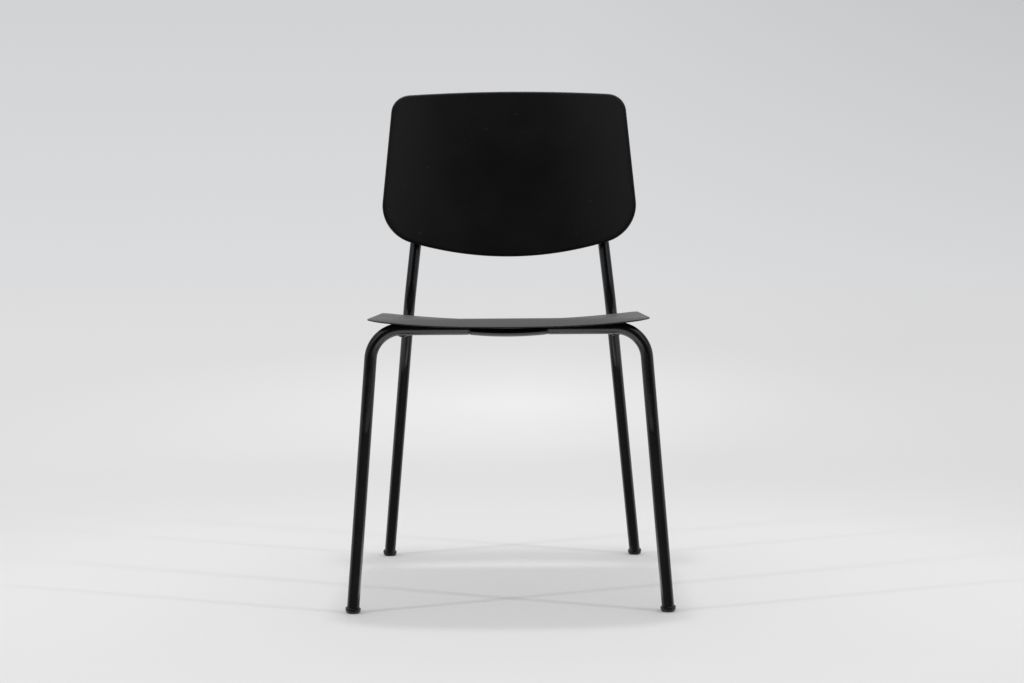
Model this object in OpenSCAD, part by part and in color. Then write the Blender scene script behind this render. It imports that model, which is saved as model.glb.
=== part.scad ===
// Choir chair: two thin moulded shells on a bent steel tube frame.
// X runs across the chair, +Y runs to the back, +Z is up, and the floor is at zero.
// Left is the side at -X. Every height is measured from the floor.

/* [Tubes] */
// Outer diameter of the leg tubes
tube_d = 19; // [17.5:0.5:20.5]
// Wall of the leg tubes
tube_wall = 1.5; // [1:0.1:2]
// Outer diameter of the rails under the seat
rail_d = 16; // [14:0.5:17]
// Wall of the rails under the seat
rail_wall = 1.5; // [1:0.1:2]

/* [Front legs] */
// Distance between the front legs' axes at the floor
front_spread = 482; // [470:1:495]
// Sideways slant of each front leg in degrees
front_splay = 4.8; // [4:0.1:5.5]
// Forward lean of the front legs and their crossbar in degrees
front_lean = 2; // [0:0.1:3]
// Centre-line radius of the bends at the ends of the crossbar
front_bend_r = 48; // [42:1:56]
// Length of the pressed saddle in the middle of the crossbar
saddle_length = 117; // [100:1:140]
// Dip of the saddle below the crossbar
saddle_dip = 3; // [1:0.1:4]
// Height of the tube where it is pressed
saddle_h = 12.5; // [11:0.1:15]

/* [Rear legs] */
// Distance between the rear legs' axes at the floor
rear_spread = 438.6; // [425:0.2:450]
// Distance from the front feet back to the rear feet
wheelbase = 486; // [475:1:500]
// Inward slant of the rear legs and uprights in degrees
rear_tilt = 6.15; // [5.5:0.05:6.5]
// Rake of the rear legs in degrees
rear_rake = 17.9; // [17:0.1:18.6]
// Recline of the uprights in degrees
upright_recline = 10; // [9:0.1:11]
// Height of the bend between a rear leg and its upright, above the seat's crest
bend_rise = 15.5; // [8:0.5:25]
// Centre-line radius of that bend
rear_bend_r = 110; // [80:1:130]
// Distance of the uprights' top ends below the back shell's upper edge
upright_drop = 30; // [20:1:40]

/* [Rails] */
// Distance of the side rails' axes beyond the crossbar's straight stretch
rail_outset = 4; // [0:0.1:10]
// Clearance between the seat's lowest line and the level of the rails' rear ends
rail_clearance = 3; // [2:0.1:4]
// Distance of the rear crossbar in front of the rails' rear ends
rear_bar_inset = 54; // [48:1:60]

/* [Seat shell] */
// Height of the seat's crest above the floor
seat_height = 449.5; // [440:0.5:460]
// Width of the seat
seat_w = 427; // [415:1:440]
// Thickness of the seat shell
seat_t = 4.5; // [3.5:0.1:5]
// Reach of the seat's front edge in front of the crest
seat_nose = 73; // [60:1:80]
// Gap between the seat's rear edge and the rear legs
seat_rear_gap = 12; // [8:0.5:20]
// Bow of the rear edge behind the side edges
seat_heel = 30; // [20:1:32]
// Radius of the downward roll at the front
nose_roll_r = 300; // [250:5:400]
// Backward slope of the side edges in degrees
seat_slope = 1.2; // [0.8:0.1:1.6]
// Depth of the dish at its lowest line
dish_depth = 19; // [15:0.5:20]
// Distance of the dish's lowest line in front of the rear edge
dish_low_inset = 118; // [100:1:135]
// Rise of the dish from its lowest line to the rear edge
dish_rise = 6; // [2:0.5:8]

/* [Back shell] */
// Height of the back shell's lower edge above the seat's crest
back_rise = 85.5; // [78:0.5:92]
// Length of the back shell along its middle
back_length = 283; // [270:1:295]
// Width of the back shell at its widest line
back_w = 425.4; // [415:0.2:435]
// Height of that widest line above the lower edge
back_wide_line = 84; // [78:1:92]
// Thickness of the back shell
back_t = 4.5; // [3.5:0.1:5]
// Recline of the back shell in degrees
back_recline = 8; // [7.5:0.1:9]
// Radius of the back shell's hollow
back_hollow_r = 520; // [480:5:560]
// Inward slant of the side edges in degrees
back_side_slant = 5.3; // [4:0.1:6]
// Radius of the top edge's arc
back_top_r = 1320; // [1000:10:1600]
// Radius of the lower edge's arc
back_bottom_r = 655; // [600:5:720]
// Radius of the upper corners
back_top_corner_r = 34; // [26:1:42]
// Radius of the lower corners
back_low_corner_r = 62; // [52:1:70]
// Distance of the shell's middle behind the uprights' axes
back_setback = 1; // [0:0.1:1.5]

/* [Fixings] */
// Thread diameter of the seat screws
seat_screw_d = 6; // [5:0.5:6]
// Thread diameter of the back screws
back_screw_d = 5; // [4:0.5:5]
// Outer diameter of the bosses under the seat
seat_boss_d = 15; // [14:0.5:18]
// Outer diameter of the bosses behind the back
back_boss_d = 14; // [13:0.5:16]
// Thickness of the seat brackets
bracket_t = 3; // [2:0.5:3.5]
// Reach of the bracket's hole from the rail's axis
bracket_reach = 26; // [24:0.5:30]
// Distance of the front seat screws behind the crest
seat_front_fixing = 50; // [40:1:60]
// Distance of the rear seat screws in front of the rear edge
seat_rear_fixing = 73; // [65:1:85]
// Height of the lower back screws above the shell's lower edge
back_low_fixing = 70; // [62:1:80]
// Distance of the upper back screws below the shell's upper edge
back_high_fixing = 63; // [55:1:75]

/* [Feet] */
// Diameter of the glides
glide_d = 24; // [22:0.5:26]
// Height of the tube ends above the floor, along the leg
glide_h = 9; // [8:0.5:11]
// Length of the glide's stem inside the tube
glide_stem = 20; // [12:1:30]

/* [Hidden] */
$fn = 96;
overrun = 1;
merge = 0.3;
bend_draw = 0.06;
fit_gap = 0.05;
seat_rest_gap = 0.2;
hole_play = 0.6;

// Front legs
front_half = front_spread / 2;
tube_r = tube_d / 2;
saddle_rib = PI * (tube_d - saddle_h) / 2;
saddle_r = (pow(saddle_length / 2, 2) + pow(saddle_dip, 2)) / (2 * saddle_dip);
saddle_half_angle = asin(saddle_length / 2 / saddle_r);

// Seat shell
seat_half = seat_w / 2;
seat_slope_rate = tan(seat_slope);
roll_end = nose_roll_r * seat_slope_rate;
dish_start = -20;
seat_back = leg_y(seat_height) - tube_r / cos(rear_rake) - seat_rear_gap;
seat_side = seat_back - seat_heel;
dish_low = seat_back - dish_low_inset;
nose_power = 2.5;
heel_power = 26;
seat_columns = 32;
seat_rows = 28;

// Crossbar under the seat's crest
bar_y = -seat_height * sin(front_lean);
bar_z = roll_z(bar_y) - seat_t - seat_rest_gap - tube_r;
bar_v = bar_z / cos(front_lean);
front_turn = 90 - front_splay;
front_tangent = front_bend_r * tan(front_turn / 2);
front_leg_straight = bar_v / cos(front_splay) - front_tangent;
bar_straight = front_half - bar_v * tan(front_splay) - front_tangent;

// Rear legs
rear_half = rear_spread / 2;
bend_height = seat_height + bend_rise;
bend_v = bend_height / cos(rear_tilt);
rear_turn = rear_rake + upright_recline;
rear_tangent = rear_bend_r * tan(rear_turn / 2);
rear_leg_straight = bend_v / cos(rear_rake) - rear_tangent;
back_height = seat_height + back_rise;
upright_top = back_height + back_length * cos(back_recline) - upright_drop;
upright_v = upright_top / cos(rear_tilt);
upright_straight = (upright_v - bend_v) / cos(upright_recline) - rear_tangent;

// Side rails
rail_r = rail_d / 2;
rail_rear_height = roll_z(dish_low) - dish_depth - seat_t - rail_r - rail_clearance;
rail_front = [bar_straight + rail_outset, bar_y, bar_z - tube_r + rail_r];
rail_rear = [leg_x(rail_rear_height), leg_y(rail_rear_height), rail_rear_height];
rear_bar_y = rail_rear[1] - rear_bar_inset;

// Seat brackets and screws
bracket_rows = [["front", seat_front_fixing], ["rear", seat_back - seat_rear_fixing]];
bracket_w = 30;
seat_hole_d = seat_screw_d + hole_play;
seat_head_d = 2 * seat_screw_d;
seat_head_h = 0.6 * seat_screw_d;
seat_insert_d = seat_screw_d + 2.5;
seat_insert_l = 8;
hex_share = 0.55;

// Back shell and its screws
back_y = upright_y(back_height) + back_setback;
back_rows = [["lower", back_low_fixing], ["upper", back_length - back_high_fixing]];
back_hole_d = back_screw_d + hole_play;
back_head_d = 2 * back_screw_d;
back_head_h = 0.6 * back_screw_d;
back_insert_d = back_screw_d + 2;
back_insert_l = 6.5;
back_insert_inset = 0.8;
back_lift = asin(sin(upright_recline) * cos(back_recline)
    - cos(rear_tilt) * cos(upright_recline) * sin(back_recline));
back_head_seat = tube_r / cos(back_lift) + back_head_d / 2 * tan(back_lift) + fit_gap;
arc_steps = 14;

// Stacking buffers on the rails
buffer_shares = [["front", 1 / 3], ["rear", 2 / 3]];
buffer_rows = [for (row = buffer_shares)
    [row[0], bracket_rows[0][1] + row[1] * (bracket_rows[1][1] - bracket_rows[0][1])]];
buffer_l = 26;
buffer_wall = 3;
buffer_wrap = 210;

// Glides and plugs
glide_r = glide_d / 2;
flange_h = 4;
sole_r = 9;
dome_r = 14;
dome_h = sqrt(pow(dome_r, 2) - pow(sole_r, 2));
bore_r = tube_r - tube_wall;
plug_stem = 14;
plug_dome = 3;

// Everything is shifted so that the floor's origin is under the middle of the whole
glide_rim_y = wheelbase + glide_r * cos(rear_rake) - (glide_h - flange_h) * sin(rear_rake);
shift_y = (seat_nose - glide_rim_y) / 2;

SIDES = [["left", -1], ["right", 1]];

// A value that eases from 0 to 1 as t goes from 0 to 1
function ease(t) = let (u = max(0, min(1, t))) u * u * (3 - 2 * u);

// The seat's top surface along its side edges, and anywhere
function roll_z(y) = seat_height - (y < roll_end
    ? y * y / (2 * nose_roll_r)
    : roll_end * roll_end / (2 * nose_roll_r) + seat_slope_rate * (y - roll_end));
function dish(y) = dish_depth * ease((y - dish_start) / (dish_low - dish_start))
    - dish_rise * ease((y - dish_low) / (seat_back - dish_low));
function seat_z(x, y) = roll_z(y) - dish(y) * (1 - pow(x / seat_half, 2));

// The seat's outline in plan
function seat_front_y(x) = -seat_nose * sqrt(max(0, 1 - pow(abs(x) / seat_half, nose_power)));
function seat_rear_y(x) = seat_side
    + seat_heel * sqrt(max(0, 1 - pow(abs(x) / seat_half, heel_power)));

// Axes of the rear legs and uprights at a height
function leg_x(z) = rear_half - z * tan(rear_tilt);
function leg_y(z) = wheelbase - z / cos(rear_tilt) * tan(rear_rake);
function upright_y(z) = leg_y(bend_height)
    + (z - bend_height) / cos(rear_tilt) * tan(upright_recline);

// A point on the right rail's axis at a distance behind the front feet
function rail_at(y) = rail_front
    + (rail_rear - rail_front) * (y - rail_front[1]) / (rail_rear[1] - rail_front[1]);
function bracket_x(y) = rail_at(y)[0] - bracket_reach;
function bracket_top(y) = rail_at(y)[2] + bracket_t / 2;

// An upright's axis as seen in the back shell's own frame: [x, depth] at a height along it
upright_rate = tan(upright_recline) / cos(rear_tilt);
function back_rise(h) = (h + back_setback * sin(back_recline))
    / (upright_rate * sin(back_recline) + cos(back_recline));
function back_axis(h) = let (rise = back_rise(h), depth = upright_rate * rise - back_setback)
    [leg_x(back_height + rise), depth * cos(back_recline) - rise * sin(back_recline)];
function back_rear_face(x) = sqrt(pow(back_hollow_r + back_t, 2) - x * x) - back_hollow_r;

// Points along an arc, from one angle to another
function arc(centre, r, from, to) = [for (i = [0 : arc_steps])
    let (a = from + (to - from) * i / arc_steps) centre + r * [cos(a), sin(a)]];

// Centre of a corner that is tangent to the slanted side and lies in a circle about (0, cy)
function corner_centre(cy, r_arc, r, end) = let (
    side = [cos(back_side_slant), sin(back_side_slant)],
    along = [-sin(back_side_slant), cos(back_side_slant)],
    start = [back_w / 2, back_wide_line] - r * side - [0, cy],
    b = start * along,
    root = sqrt(b * b - start * start + pow(r_arc - r, 2)))
    start + [0, cy] + (end * root - b) * along;

// The back shell's outline: lower arc, right side, top arc and left side
function back_outline() = let (
    low_cy = back_bottom_r,
    top_cy = back_length - back_top_r,
    low = corner_centre(low_cy, back_bottom_r, back_low_corner_r, -1),
    top = corner_centre(top_cy, back_top_r, back_top_corner_r, 1),
    low_angle = atan2(low[1] - low_cy, low[0]),
    top_angle = atan2(top[1] - top_cy, top[0]),
    right = concat(
        arc([0, low_cy], back_bottom_r, -90, low_angle),
        arc(low, back_low_corner_r, low_angle, back_side_slant),
        arc(top, back_top_corner_r, back_side_slant, top_angle),
        arc([0, top_cy], back_top_r, top_angle, 90)),
    last = len(right) - 1)
    concat([for (i = [0 : last]) if (i % (arc_steps + 1) > 0 || i == 0) right[i]],
        [for (i = [last - 1 : -1 : 1]) if (i % (arc_steps + 1) > 0) [-right[i][0], right[i][1]]]);

// A bend that starts upwards at the origin and turns towards +Y
module bend(r, angle, d) {
    translate([0, r, 0]) rotate([90, 0, -90])
        rotate_extrude(angle = angle) translate([r, 0]) circle(d = d);
}

// A round bar along +Z with a bend, drawn a little slimmer, after each stretch but the last
module run(path, d, i = 0) {
    straight = path[i][0];
    r = path[i][1];
    angle = path[i][2];
    before = i > 0 ? merge : 0;
    after = i < len(path) - 1 ? merge : 0;
    translate([0, 0, -before]) cylinder(h = before + straight + after, d = d);
    if (i < len(path) - 1) {
        translate([0, 0, straight]) {
            bend(r, angle, d - bend_draw);
            translate([0, r - r * cos(angle), r * sin(angle)])
                rotate([-angle, 0, 0]) run(path, d, i + 1);
        }
    }
}

// A round bar from one point to another
module rod(from, to, d) {
    span = to - from;
    translate(from)
        rotate([0, atan2(norm([span[0], span[1]]), span[2]), atan2(span[1], span[0])])
        cylinder(h = norm(span), d = d);
}

// Frames of reference
module shifted() { translate([0, shift_y, 0]) children(); }
module mirrored(side) { mirror([side < 0 ? 1 : 0, 0, 0]) children(); }
module front_axis() {
    translate([front_half, 0, 0]) rotate([front_lean, 0, 0]) rotate([0, -front_splay, 0]) children();
}
module rear_axis() {
    translate([rear_half, wheelbase, 0]) rotate([0, -rear_tilt, 0]) rotate([rear_rake, 0, 0])
        children();
}
module back_frame() {
    translate([0, back_y, back_height]) rotate([-back_recline, 0, 0]) children();
}
module rail_frame(y) {
    span = rail_rear - rail_front;
    translate(rail_at(y))
        rotate([0, atan2(norm([span[0], span[1]]), span[2]), atan2(span[1], span[0])])
        children();
}

// Front legs and crossbar, one bent tube with a pressed saddle
module front_bar(d, start, stop) {
    for (side = [-1, 1]) mirrored(side)
        translate([front_half, 0, 0]) rotate([0, 0, 90]) rotate([-front_splay, 0, 0])
        translate([0, 0, start])
        run([[front_leg_straight - start, front_bend_r, front_turn],
            [bar_straight - saddle_length / 2 - stop, 0, 0]], d);
}
module flat_section(wall) {
    square([saddle_h - 2 * wall, saddle_rib], center = true);
    for (end = [-1, 1]) translate([0, end * saddle_rib / 2]) circle(d = saddle_h - 2 * wall);
}
module saddle(wall, extra) {
    half_angle = saddle_half_angle + extra;
    translate([0, 0, bar_v - tube_r - saddle_dip + saddle_r])
        rotate([90, 0, 0]) rotate([0, 0, -90 - half_angle])
        rotate_extrude(angle = 2 * half_angle)
        translate([saddle_r - saddle_h / 2, 0]) flat_section(wall);
}
module front_leg_frame() {
    color("#141414") shifted() rotate([front_lean, 0, 0]) difference() {
        union() {
            front_bar(tube_d, glide_h, 0);
            saddle(0, asin(tube_wall / saddle_r));
        }
        front_bar(2 * bore_r, glide_h - overrun, tube_wall);
        saddle(tube_wall, asin((2 * tube_wall + overrun) / saddle_r));
    }
}

// Rear leg and upright, one bent tube with two holes for the back screws
module rear_bar(d, start, end) {
    rear_axis() translate([0, 0, start])
        run([[rear_leg_straight - start, rear_bend_r, rear_turn],
            [upright_straight + end, 0, 0]], d);
}
module rear_leg(side) {
    color("#141414") shifted() mirrored(side) difference() {
        rear_bar(tube_d, glide_h, 0);
        rear_bar(2 * bore_r, glide_h - overrun, overrun);
        for (row = back_rows) back_frame() back_hole(row[1], back_hole_d);
    }
}
module back_hole(h, d) {
    axis = back_axis(h);
    translate([axis[0], axis[1] - tube_d, h]) rotate([-90, 0, 0]) cylinder(h = 2 * tube_d, d = d);
}

// Rails under the seat, their ends shaped round the tubes that they are welded to
module side_rail(side) {
    color("#161616") shifted() mirrored(side) difference() {
        rod(rail_front, rail_rear, rail_d);
        rod(rail_front, rail_rear, rail_d - 2 * rail_wall);
        rotate([front_lean, 0, 0]) front_bar(tube_d, glide_h, 0);
        rear_bar(tube_d, glide_h, 0);
    }
}
module rear_crossbar() {
    end = rail_at(rear_bar_y);
    color("#161616") shifted() difference() {
        rod([-end[0], end[1], end[2]], end, rail_d);
        rod([-end[0], end[1], end[2]], end, rail_d - 2 * rail_wall);
        for (side = [-1, 1]) mirrored(side) rod(rail_front, rail_rear, rail_d);
    }
}

// Seat brackets, welded to the side rails
module seat_bracket(side, y) {
    top = bracket_top(y);
    x = bracket_x(y);
    color("#161616") shifted() mirrored(side) difference() {
        translate([0, y, top - bracket_t]) {
            translate([x, 0, 0]) cylinder(h = bracket_t, d = bracket_w);
            translate([x, -bracket_w / 2, 0]) cube([bracket_reach, bracket_w, bracket_t]);
        }
        translate([x, y, top - bracket_t - overrun])
            cylinder(h = bracket_t + 2 * overrun, d = seat_hole_d);
        rod(rail_front, rail_rear, rail_d);
    }
}

// Seat shell with the four bosses that hold its threaded inserts
module seat_skin() {
    stride = seat_rows + 1;
    layer = (seat_columns + 1) * stride;
    xs = [for (i = [0 : seat_columns]) seat_half * sin(90 * (2 * i / seat_columns - 1))];
    top = [for (x = xs, j = [0 : seat_rows])
        let (y = seat_front_y(x) + (seat_rear_y(x) - seat_front_y(x)) * j / seat_rows)
        [x, y, seat_z(x, y)]];
    low = [for (p = top) p - [0, 0, seat_t]];
    cells = [for (i = [0 : seat_columns - 1], j = [0 : seat_rows - 1]) i * stride + j];
    rim = concat([for (j = [0 : seat_rows - 1]) j],
        [for (i = [0 : seat_columns - 1]) i * stride + seat_rows],
        [for (j = [seat_rows : -1 : 1]) seat_columns * stride + j],
        [for (i = [seat_columns : -1 : 1]) i * stride]);
    polyhedron(concat(top, low), concat(
        [for (a = cells) [a, a + 1, a + stride]],
        [for (a = cells) [a + 1, a + stride + 1, a + stride]],
        [for (a = cells) [layer + a, layer + a + stride, layer + a + 1]],
        [for (a = cells) [layer + a + 1, layer + a + stride, layer + a + stride + 1]],
        [for (k = [0 : len(rim) - 1]) let (a = rim[k], b = rim[(k + 1) % len(rim)]) [a, layer + a, b]],
        [for (k = [0 : len(rim) - 1]) let (a = rim[k], b = rim[(k + 1) % len(rim)])
            [b, layer + a, layer + b]]));
}
module seat_shell() {
    color("#1b1b1c") shifted() difference() {
        union() {
            seat_skin();
            for (side = [-1, 1], row = bracket_rows) mirrored(side) seat_boss(row[1], seat_boss_d);
        }
        for (side = [-1, 1], row = bracket_rows) mirrored(side)
            translate([bracket_x(row[1]), row[1], bracket_top(row[1]) - overrun])
            cylinder(h = seat_insert_l + 2 * overrun, d = seat_insert_d);
    }
}
module seat_boss(y, d) {
    x = bracket_x(y);
    foot = bracket_top(y);
    translate([x, y, foot]) cylinder(h = seat_z(x, y) - seat_t / 2 - foot, d = d);
}
module seat_insert(side, y) {
    color("#b08d4a") shifted() mirrored(side)
        translate([bracket_x(y), y, bracket_top(y)]) difference() {
            cylinder(h = seat_insert_l, d = seat_insert_d - 2 * fit_gap);
            translate([0, 0, -overrun])
                cylinder(h = seat_insert_l + 2 * overrun, d = seat_screw_d + 2 * fit_gap);
        }
}
module seat_screw(side, y) {
    color("#3c3c3e") shifted() mirrored(side)
        translate([bracket_x(y), y, bracket_top(y) - bracket_t])
        screw(seat_screw_d, seat_head_d, seat_head_h, bracket_t + seat_insert_l);
}

// A button-head screw that points upwards, its head under the origin
module screw(d, head_d, head_h, length) {
    difference() {
        union() {
            cylinder(h = length, d = d);
            translate([0, 0, -head_h]) cylinder(h = head_h, d1 = head_d * hex_share + head_h, d2 = head_d);
        }
        translate([0, 0, -head_h - overrun])
            cylinder(h = overrun + head_h * hex_share, d = head_d * hex_share, $fn = 6);
    }
}

// Back shell with the four bosses that sit on the uprights
module back_shell() {
    color("#121213") shifted() back_frame() difference() {
        union() {
            intersection() {
                translate([0, 0, -back_length]) difference() {
                    translate([0, -back_hollow_r, 0])
                        cylinder(h = 3 * back_length, r = back_hollow_r + back_t, $fn = 360);
                    translate([0, -back_hollow_r, -overrun])
                        cylinder(h = 3 * back_length + 2 * overrun, r = back_hollow_r, $fn = 360);
                }
                translate([0, back_t + overrun, 0]) rotate([90, 0, 0])
                    linear_extrude(back_w / 2) polygon(back_outline());
            }
            for (side = [-1, 1], row = back_rows) mirrored(side) back_boss(row[1]);
        }
        for (side = [-1, 1], row = back_rows) mirrored(side) {
            axis = back_axis(row[1]);
            translate([axis[0], back_insert_foot(row[1]), row[1]])
                rotate([-90, 0, 0]) cylinder(h = tube_d, d = back_insert_d);
        }
        for (side = [-1, 1]) mirrored(side) in_back_frame() rear_bar(tube_d, glide_h, 0);
    }
}
module in_back_frame() {
    rotate([back_recline, 0, 0]) translate([0, -back_y, -back_height]) children();
}
module back_boss(h) {
    axis = back_axis(h);
    root = back_rear_face(axis[0]) - back_t / 2;
    translate([axis[0], root, h]) rotate([-90, 0, 0]) cylinder(h = axis[1] - root, d = back_boss_d);
}
function back_insert_foot(h) = back_axis(h)[1] - tube_r - back_insert_inset - back_insert_l;
module back_insert(side, h) {
    color("#b08d4a") shifted() mirrored(side) back_frame()
        translate([back_axis(h)[0], back_insert_foot(h), h]) rotate([-90, 0, 0]) difference() {
            cylinder(h = back_insert_l, d = back_insert_d - 2 * fit_gap);
            translate([0, 0, -overrun])
                cylinder(h = back_insert_l + 2 * overrun, d = back_screw_d + 2 * fit_gap);
        }
}
module back_screw(side, h) {
    reach = back_head_seat + tube_r + back_insert_inset + back_insert_l - overrun;
    color("#3c3c3e") shifted() mirrored(side) back_frame()
        translate([back_axis(h)[0], back_axis(h)[1] + back_head_seat, h]) rotate([90, 0, 0])
        screw(back_screw_d, back_head_d, back_head_h, reach);
}

// Plastic plugs in the tops of the uprights
module upright_plug(side) {
    dome_r = (pow(tube_r, 2) + pow(plug_dome, 2)) / (2 * plug_dome);
    color("#0f0f0f") shifted() mirrored(side)
        rear_axis() translate([0, 0, rear_leg_straight])
        translate([0, rear_bend_r - rear_bend_r * cos(rear_turn), rear_bend_r * sin(rear_turn)])
        rotate([-rear_turn, 0, 0]) translate([0, 0, upright_straight]) {
            translate([0, 0, -plug_stem]) cylinder(h = plug_stem, r = bore_r - fit_gap);
            intersection() {
                translate([0, 0, plug_dome - dome_r]) sphere(r = dome_r);
                cylinder(h = plug_dome, r = tube_r);
            }
        }
}

// Plastic buffers clipped under the side rails, for stacking
module stacking_buffer(side, y) {
    color("#0f0f0f") shifted() mirrored(side) rail_frame(y)
        rotate([0, 0, -buffer_wrap / 2]) translate([0, 0, -buffer_l / 2])
        rotate_extrude(angle = buffer_wrap)
        translate([rail_r + fit_gap, 0]) square([buffer_wall, buffer_l]);
}

// Glides: a stem in the tube, a flange and a dome that is flat on the floor
module glide(lean) {
    translate([0, 0, glide_h]) cylinder(h = glide_stem, r = bore_r - fit_gap);
    translate([0, 0, glide_h - flange_h]) cylinder(h = flange_h, r = glide_r);
    intersection() {
        translate([0, 0, dome_h / cos(lean)]) sphere(r = dome_r);
        translate([0, 0, -glide_r]) cylinder(h = glide_r + glide_h - flange_h, r = glide_r);
    }
}
module below_floor() {
    reach = 2 * glide_d;
    translate([-reach, -reach, -reach]) cube([2 * reach, 2 * reach, reach]);
}
module glide_front(side) {
    color("#0b0b0b") shifted() mirrored(side) difference() {
        front_axis() glide(acos(cos(front_lean) * cos(front_splay)));
        translate([front_half, 0, 0]) below_floor();
    }
}
module glide_rear(side) {
    color("#0b0b0b") shifted() mirrored(side) difference() {
        rear_axis() glide(acos(cos(rear_tilt) * cos(rear_rake)));
        translate([rear_half, wheelbase, 0]) below_floor();
    }
}

front_leg_frame();
rear_crossbar();
seat_shell();
back_shell();
for (s = SIDES) {
    rear_leg(s[1]);
    side_rail(s[1]);
    upright_plug(s[1]);
    glide_front(s[1]);
    glide_rear(s[1]);
    for (row = bracket_rows) {
        place = str(row[0], "_", s[0]);
        seat_bracket(s[1], row[1]);
        seat_insert(s[1], row[1]);
        seat_screw(s[1], row[1]);
    }
    for (row = back_rows) {
        place = str(row[0], "_", s[0]);
        back_insert(s[1], row[1]);
        back_screw(s[1], row[1]);
    }
    for (row = buffer_rows) {
        place = str(row[0], "_", s[0]);
        stacking_buffer(s[1], row[1]);
    }
}
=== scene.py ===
"""Choir chair: the finished look of its CAD frame, as an add-on that is run as a script."""
from math import acos, asin, atan2, cos, exp, pi, radians, sin, sqrt, tan

import bmesh
import bpy
from bpy.props import FloatProperty, FloatVectorProperty, PointerProperty
from bpy.types import Operator, Panel, PropertyGroup
from mathutils import Matrix, Vector


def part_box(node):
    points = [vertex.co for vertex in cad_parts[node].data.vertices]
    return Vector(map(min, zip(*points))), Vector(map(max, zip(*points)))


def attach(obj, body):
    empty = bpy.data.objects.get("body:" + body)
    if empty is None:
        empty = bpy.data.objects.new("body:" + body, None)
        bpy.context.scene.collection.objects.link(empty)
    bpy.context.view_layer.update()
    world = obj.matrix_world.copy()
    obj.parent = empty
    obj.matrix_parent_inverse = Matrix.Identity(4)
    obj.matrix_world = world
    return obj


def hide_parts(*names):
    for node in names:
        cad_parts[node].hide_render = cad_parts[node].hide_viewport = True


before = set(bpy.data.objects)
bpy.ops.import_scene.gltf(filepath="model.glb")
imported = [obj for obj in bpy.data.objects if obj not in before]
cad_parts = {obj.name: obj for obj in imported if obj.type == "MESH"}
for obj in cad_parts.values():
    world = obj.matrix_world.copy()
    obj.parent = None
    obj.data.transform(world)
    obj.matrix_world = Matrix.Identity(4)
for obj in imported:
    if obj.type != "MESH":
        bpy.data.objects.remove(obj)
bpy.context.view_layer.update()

SEAT_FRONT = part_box("seat_shell")[0].y
BAR_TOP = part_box("front_leg_frame")[1].z

bl_info = {
    "name": "Choir Chair",
    "version": (1, 0, 0),
    "blender": (4, 5, 0),
    "location": "3D View > Sidebar > Chair",
    "description": "Builds the shells, tubes and fittings of a choir chair around its CAD frame",
    "category": "Add Mesh",
}

ROOT = "root"
SIDES = (("left", -1), ("right", 1))
SEAT_ROWS = ("front", "rear")
BACK_ROWS = ("lower", "upper")
BUFFER_SHARES = {"front": 1 / 3, "rear": 2 / 3}

# Fineness of the meshes: points round a ring, and steps along a line

TUBE_RING = 48
ROD_RING = 40
BOSS_RING = 40
PLUG_RING = 44
GLIDE_RING = 56
SCREW_RING = 36
BEAD_RING = 10
FLOOR_RING = 96
LEG_STEPS = 12
FRONT_BEND_STEPS = 30
BAR_STEPS = 6
SADDLE_STEPS = 96
REAR_BEND_STEPS = 20
UPRIGHT_STEPS = 8
ROD_STEPS = 16
WELD_STEPS = 96
PLATE_STEPS = 20
OUTLINE_STEPS = 200
CORNER_STEPS = 60
BUFFER_STEPS = 36
HEAD_STEPS = 5
PLUG_STEPS = 8
GLIDE_STEPS = 10
RIM_STEPS = 8
SEAT_GRID = (90, 84)
BACK_GRID = (96, 70)
MERGED = 0.00001
NEAR = 1e-6

# Angles past which an edge is drawn sharp, or is eased

TUBE_SHARP = radians(60)
SHELL_SHARP = radians(50)
PLATE_SHARP = radians(40)
FINE_SHARP = radians(35)
EASED = radians(55)

# Flares of the bosses: outwards from the boss's side, and along it from the shell's face

SEAT_FLARE = ((0, -0.0035), (0.0004, -0.002), (0.0014, -0.0006), (0.003, 0.0012), (0.003, 0.0022))
BACK_FLARE = ((0.003, -0.002), (0.003, -0.001), (0.0012, 0.0008), (0.0003, 0.0022), (0, 0.004))

# Small shapes: lengths in metres, angles, a count, and shares of a neighbouring size

NICK_DEPTH = 0.0007
NICK_REACH = 0.0016
PRESSED_SPREAD = 0.57
RAIL_INSET = 0.004
BAR_INSET = 0.002
BEAD_REACH = 0.72
RIPPLE = 0.12
RIPPLE_POINTS = 6
PLATE_EASING = 0.0005
SEAT_CORNERS = (radians(62), radians(58))
SEAT_POWERS = (0.8, 1 / 13)
SEAT_EASINGS = (0.3, 0.45)
INNER_GRID = 0.955
BOSS_EASING = 0.0004
BOSS_SUNK = 0.003
BOSS_LEAST = 0.0045
SEAT_SHANK = 0.011
BACK_SHANK_SPARE = 0.006
HEAD_EASING = 0.0004
HEAD_HEIGHT = 0.6
HEAD_SWING = radians(72)
SOCKET = 0.55
SOCKET_RIM = 1.06
SOCKET_EASING = 0.0003
SOCKET_FLOOR = 0.42
PLUG_STEM = 0.014
PLUG_GAP = 0.0002
PLUG_RIM = 0.0005
PLUG_EDGE = 0.0003
BUFFER_GAP = 0.00005
BUFFER_EASING = 0.0009
GLIDE_EASING = 0.0027
GLIDE_SIDE = (0.0004, 0.0001)
GLIDE_LEDGE = 0.0005
GLIDE_GAP = 0.0002

# The picture, places in the studio in metres, and the tones that change over them

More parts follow.
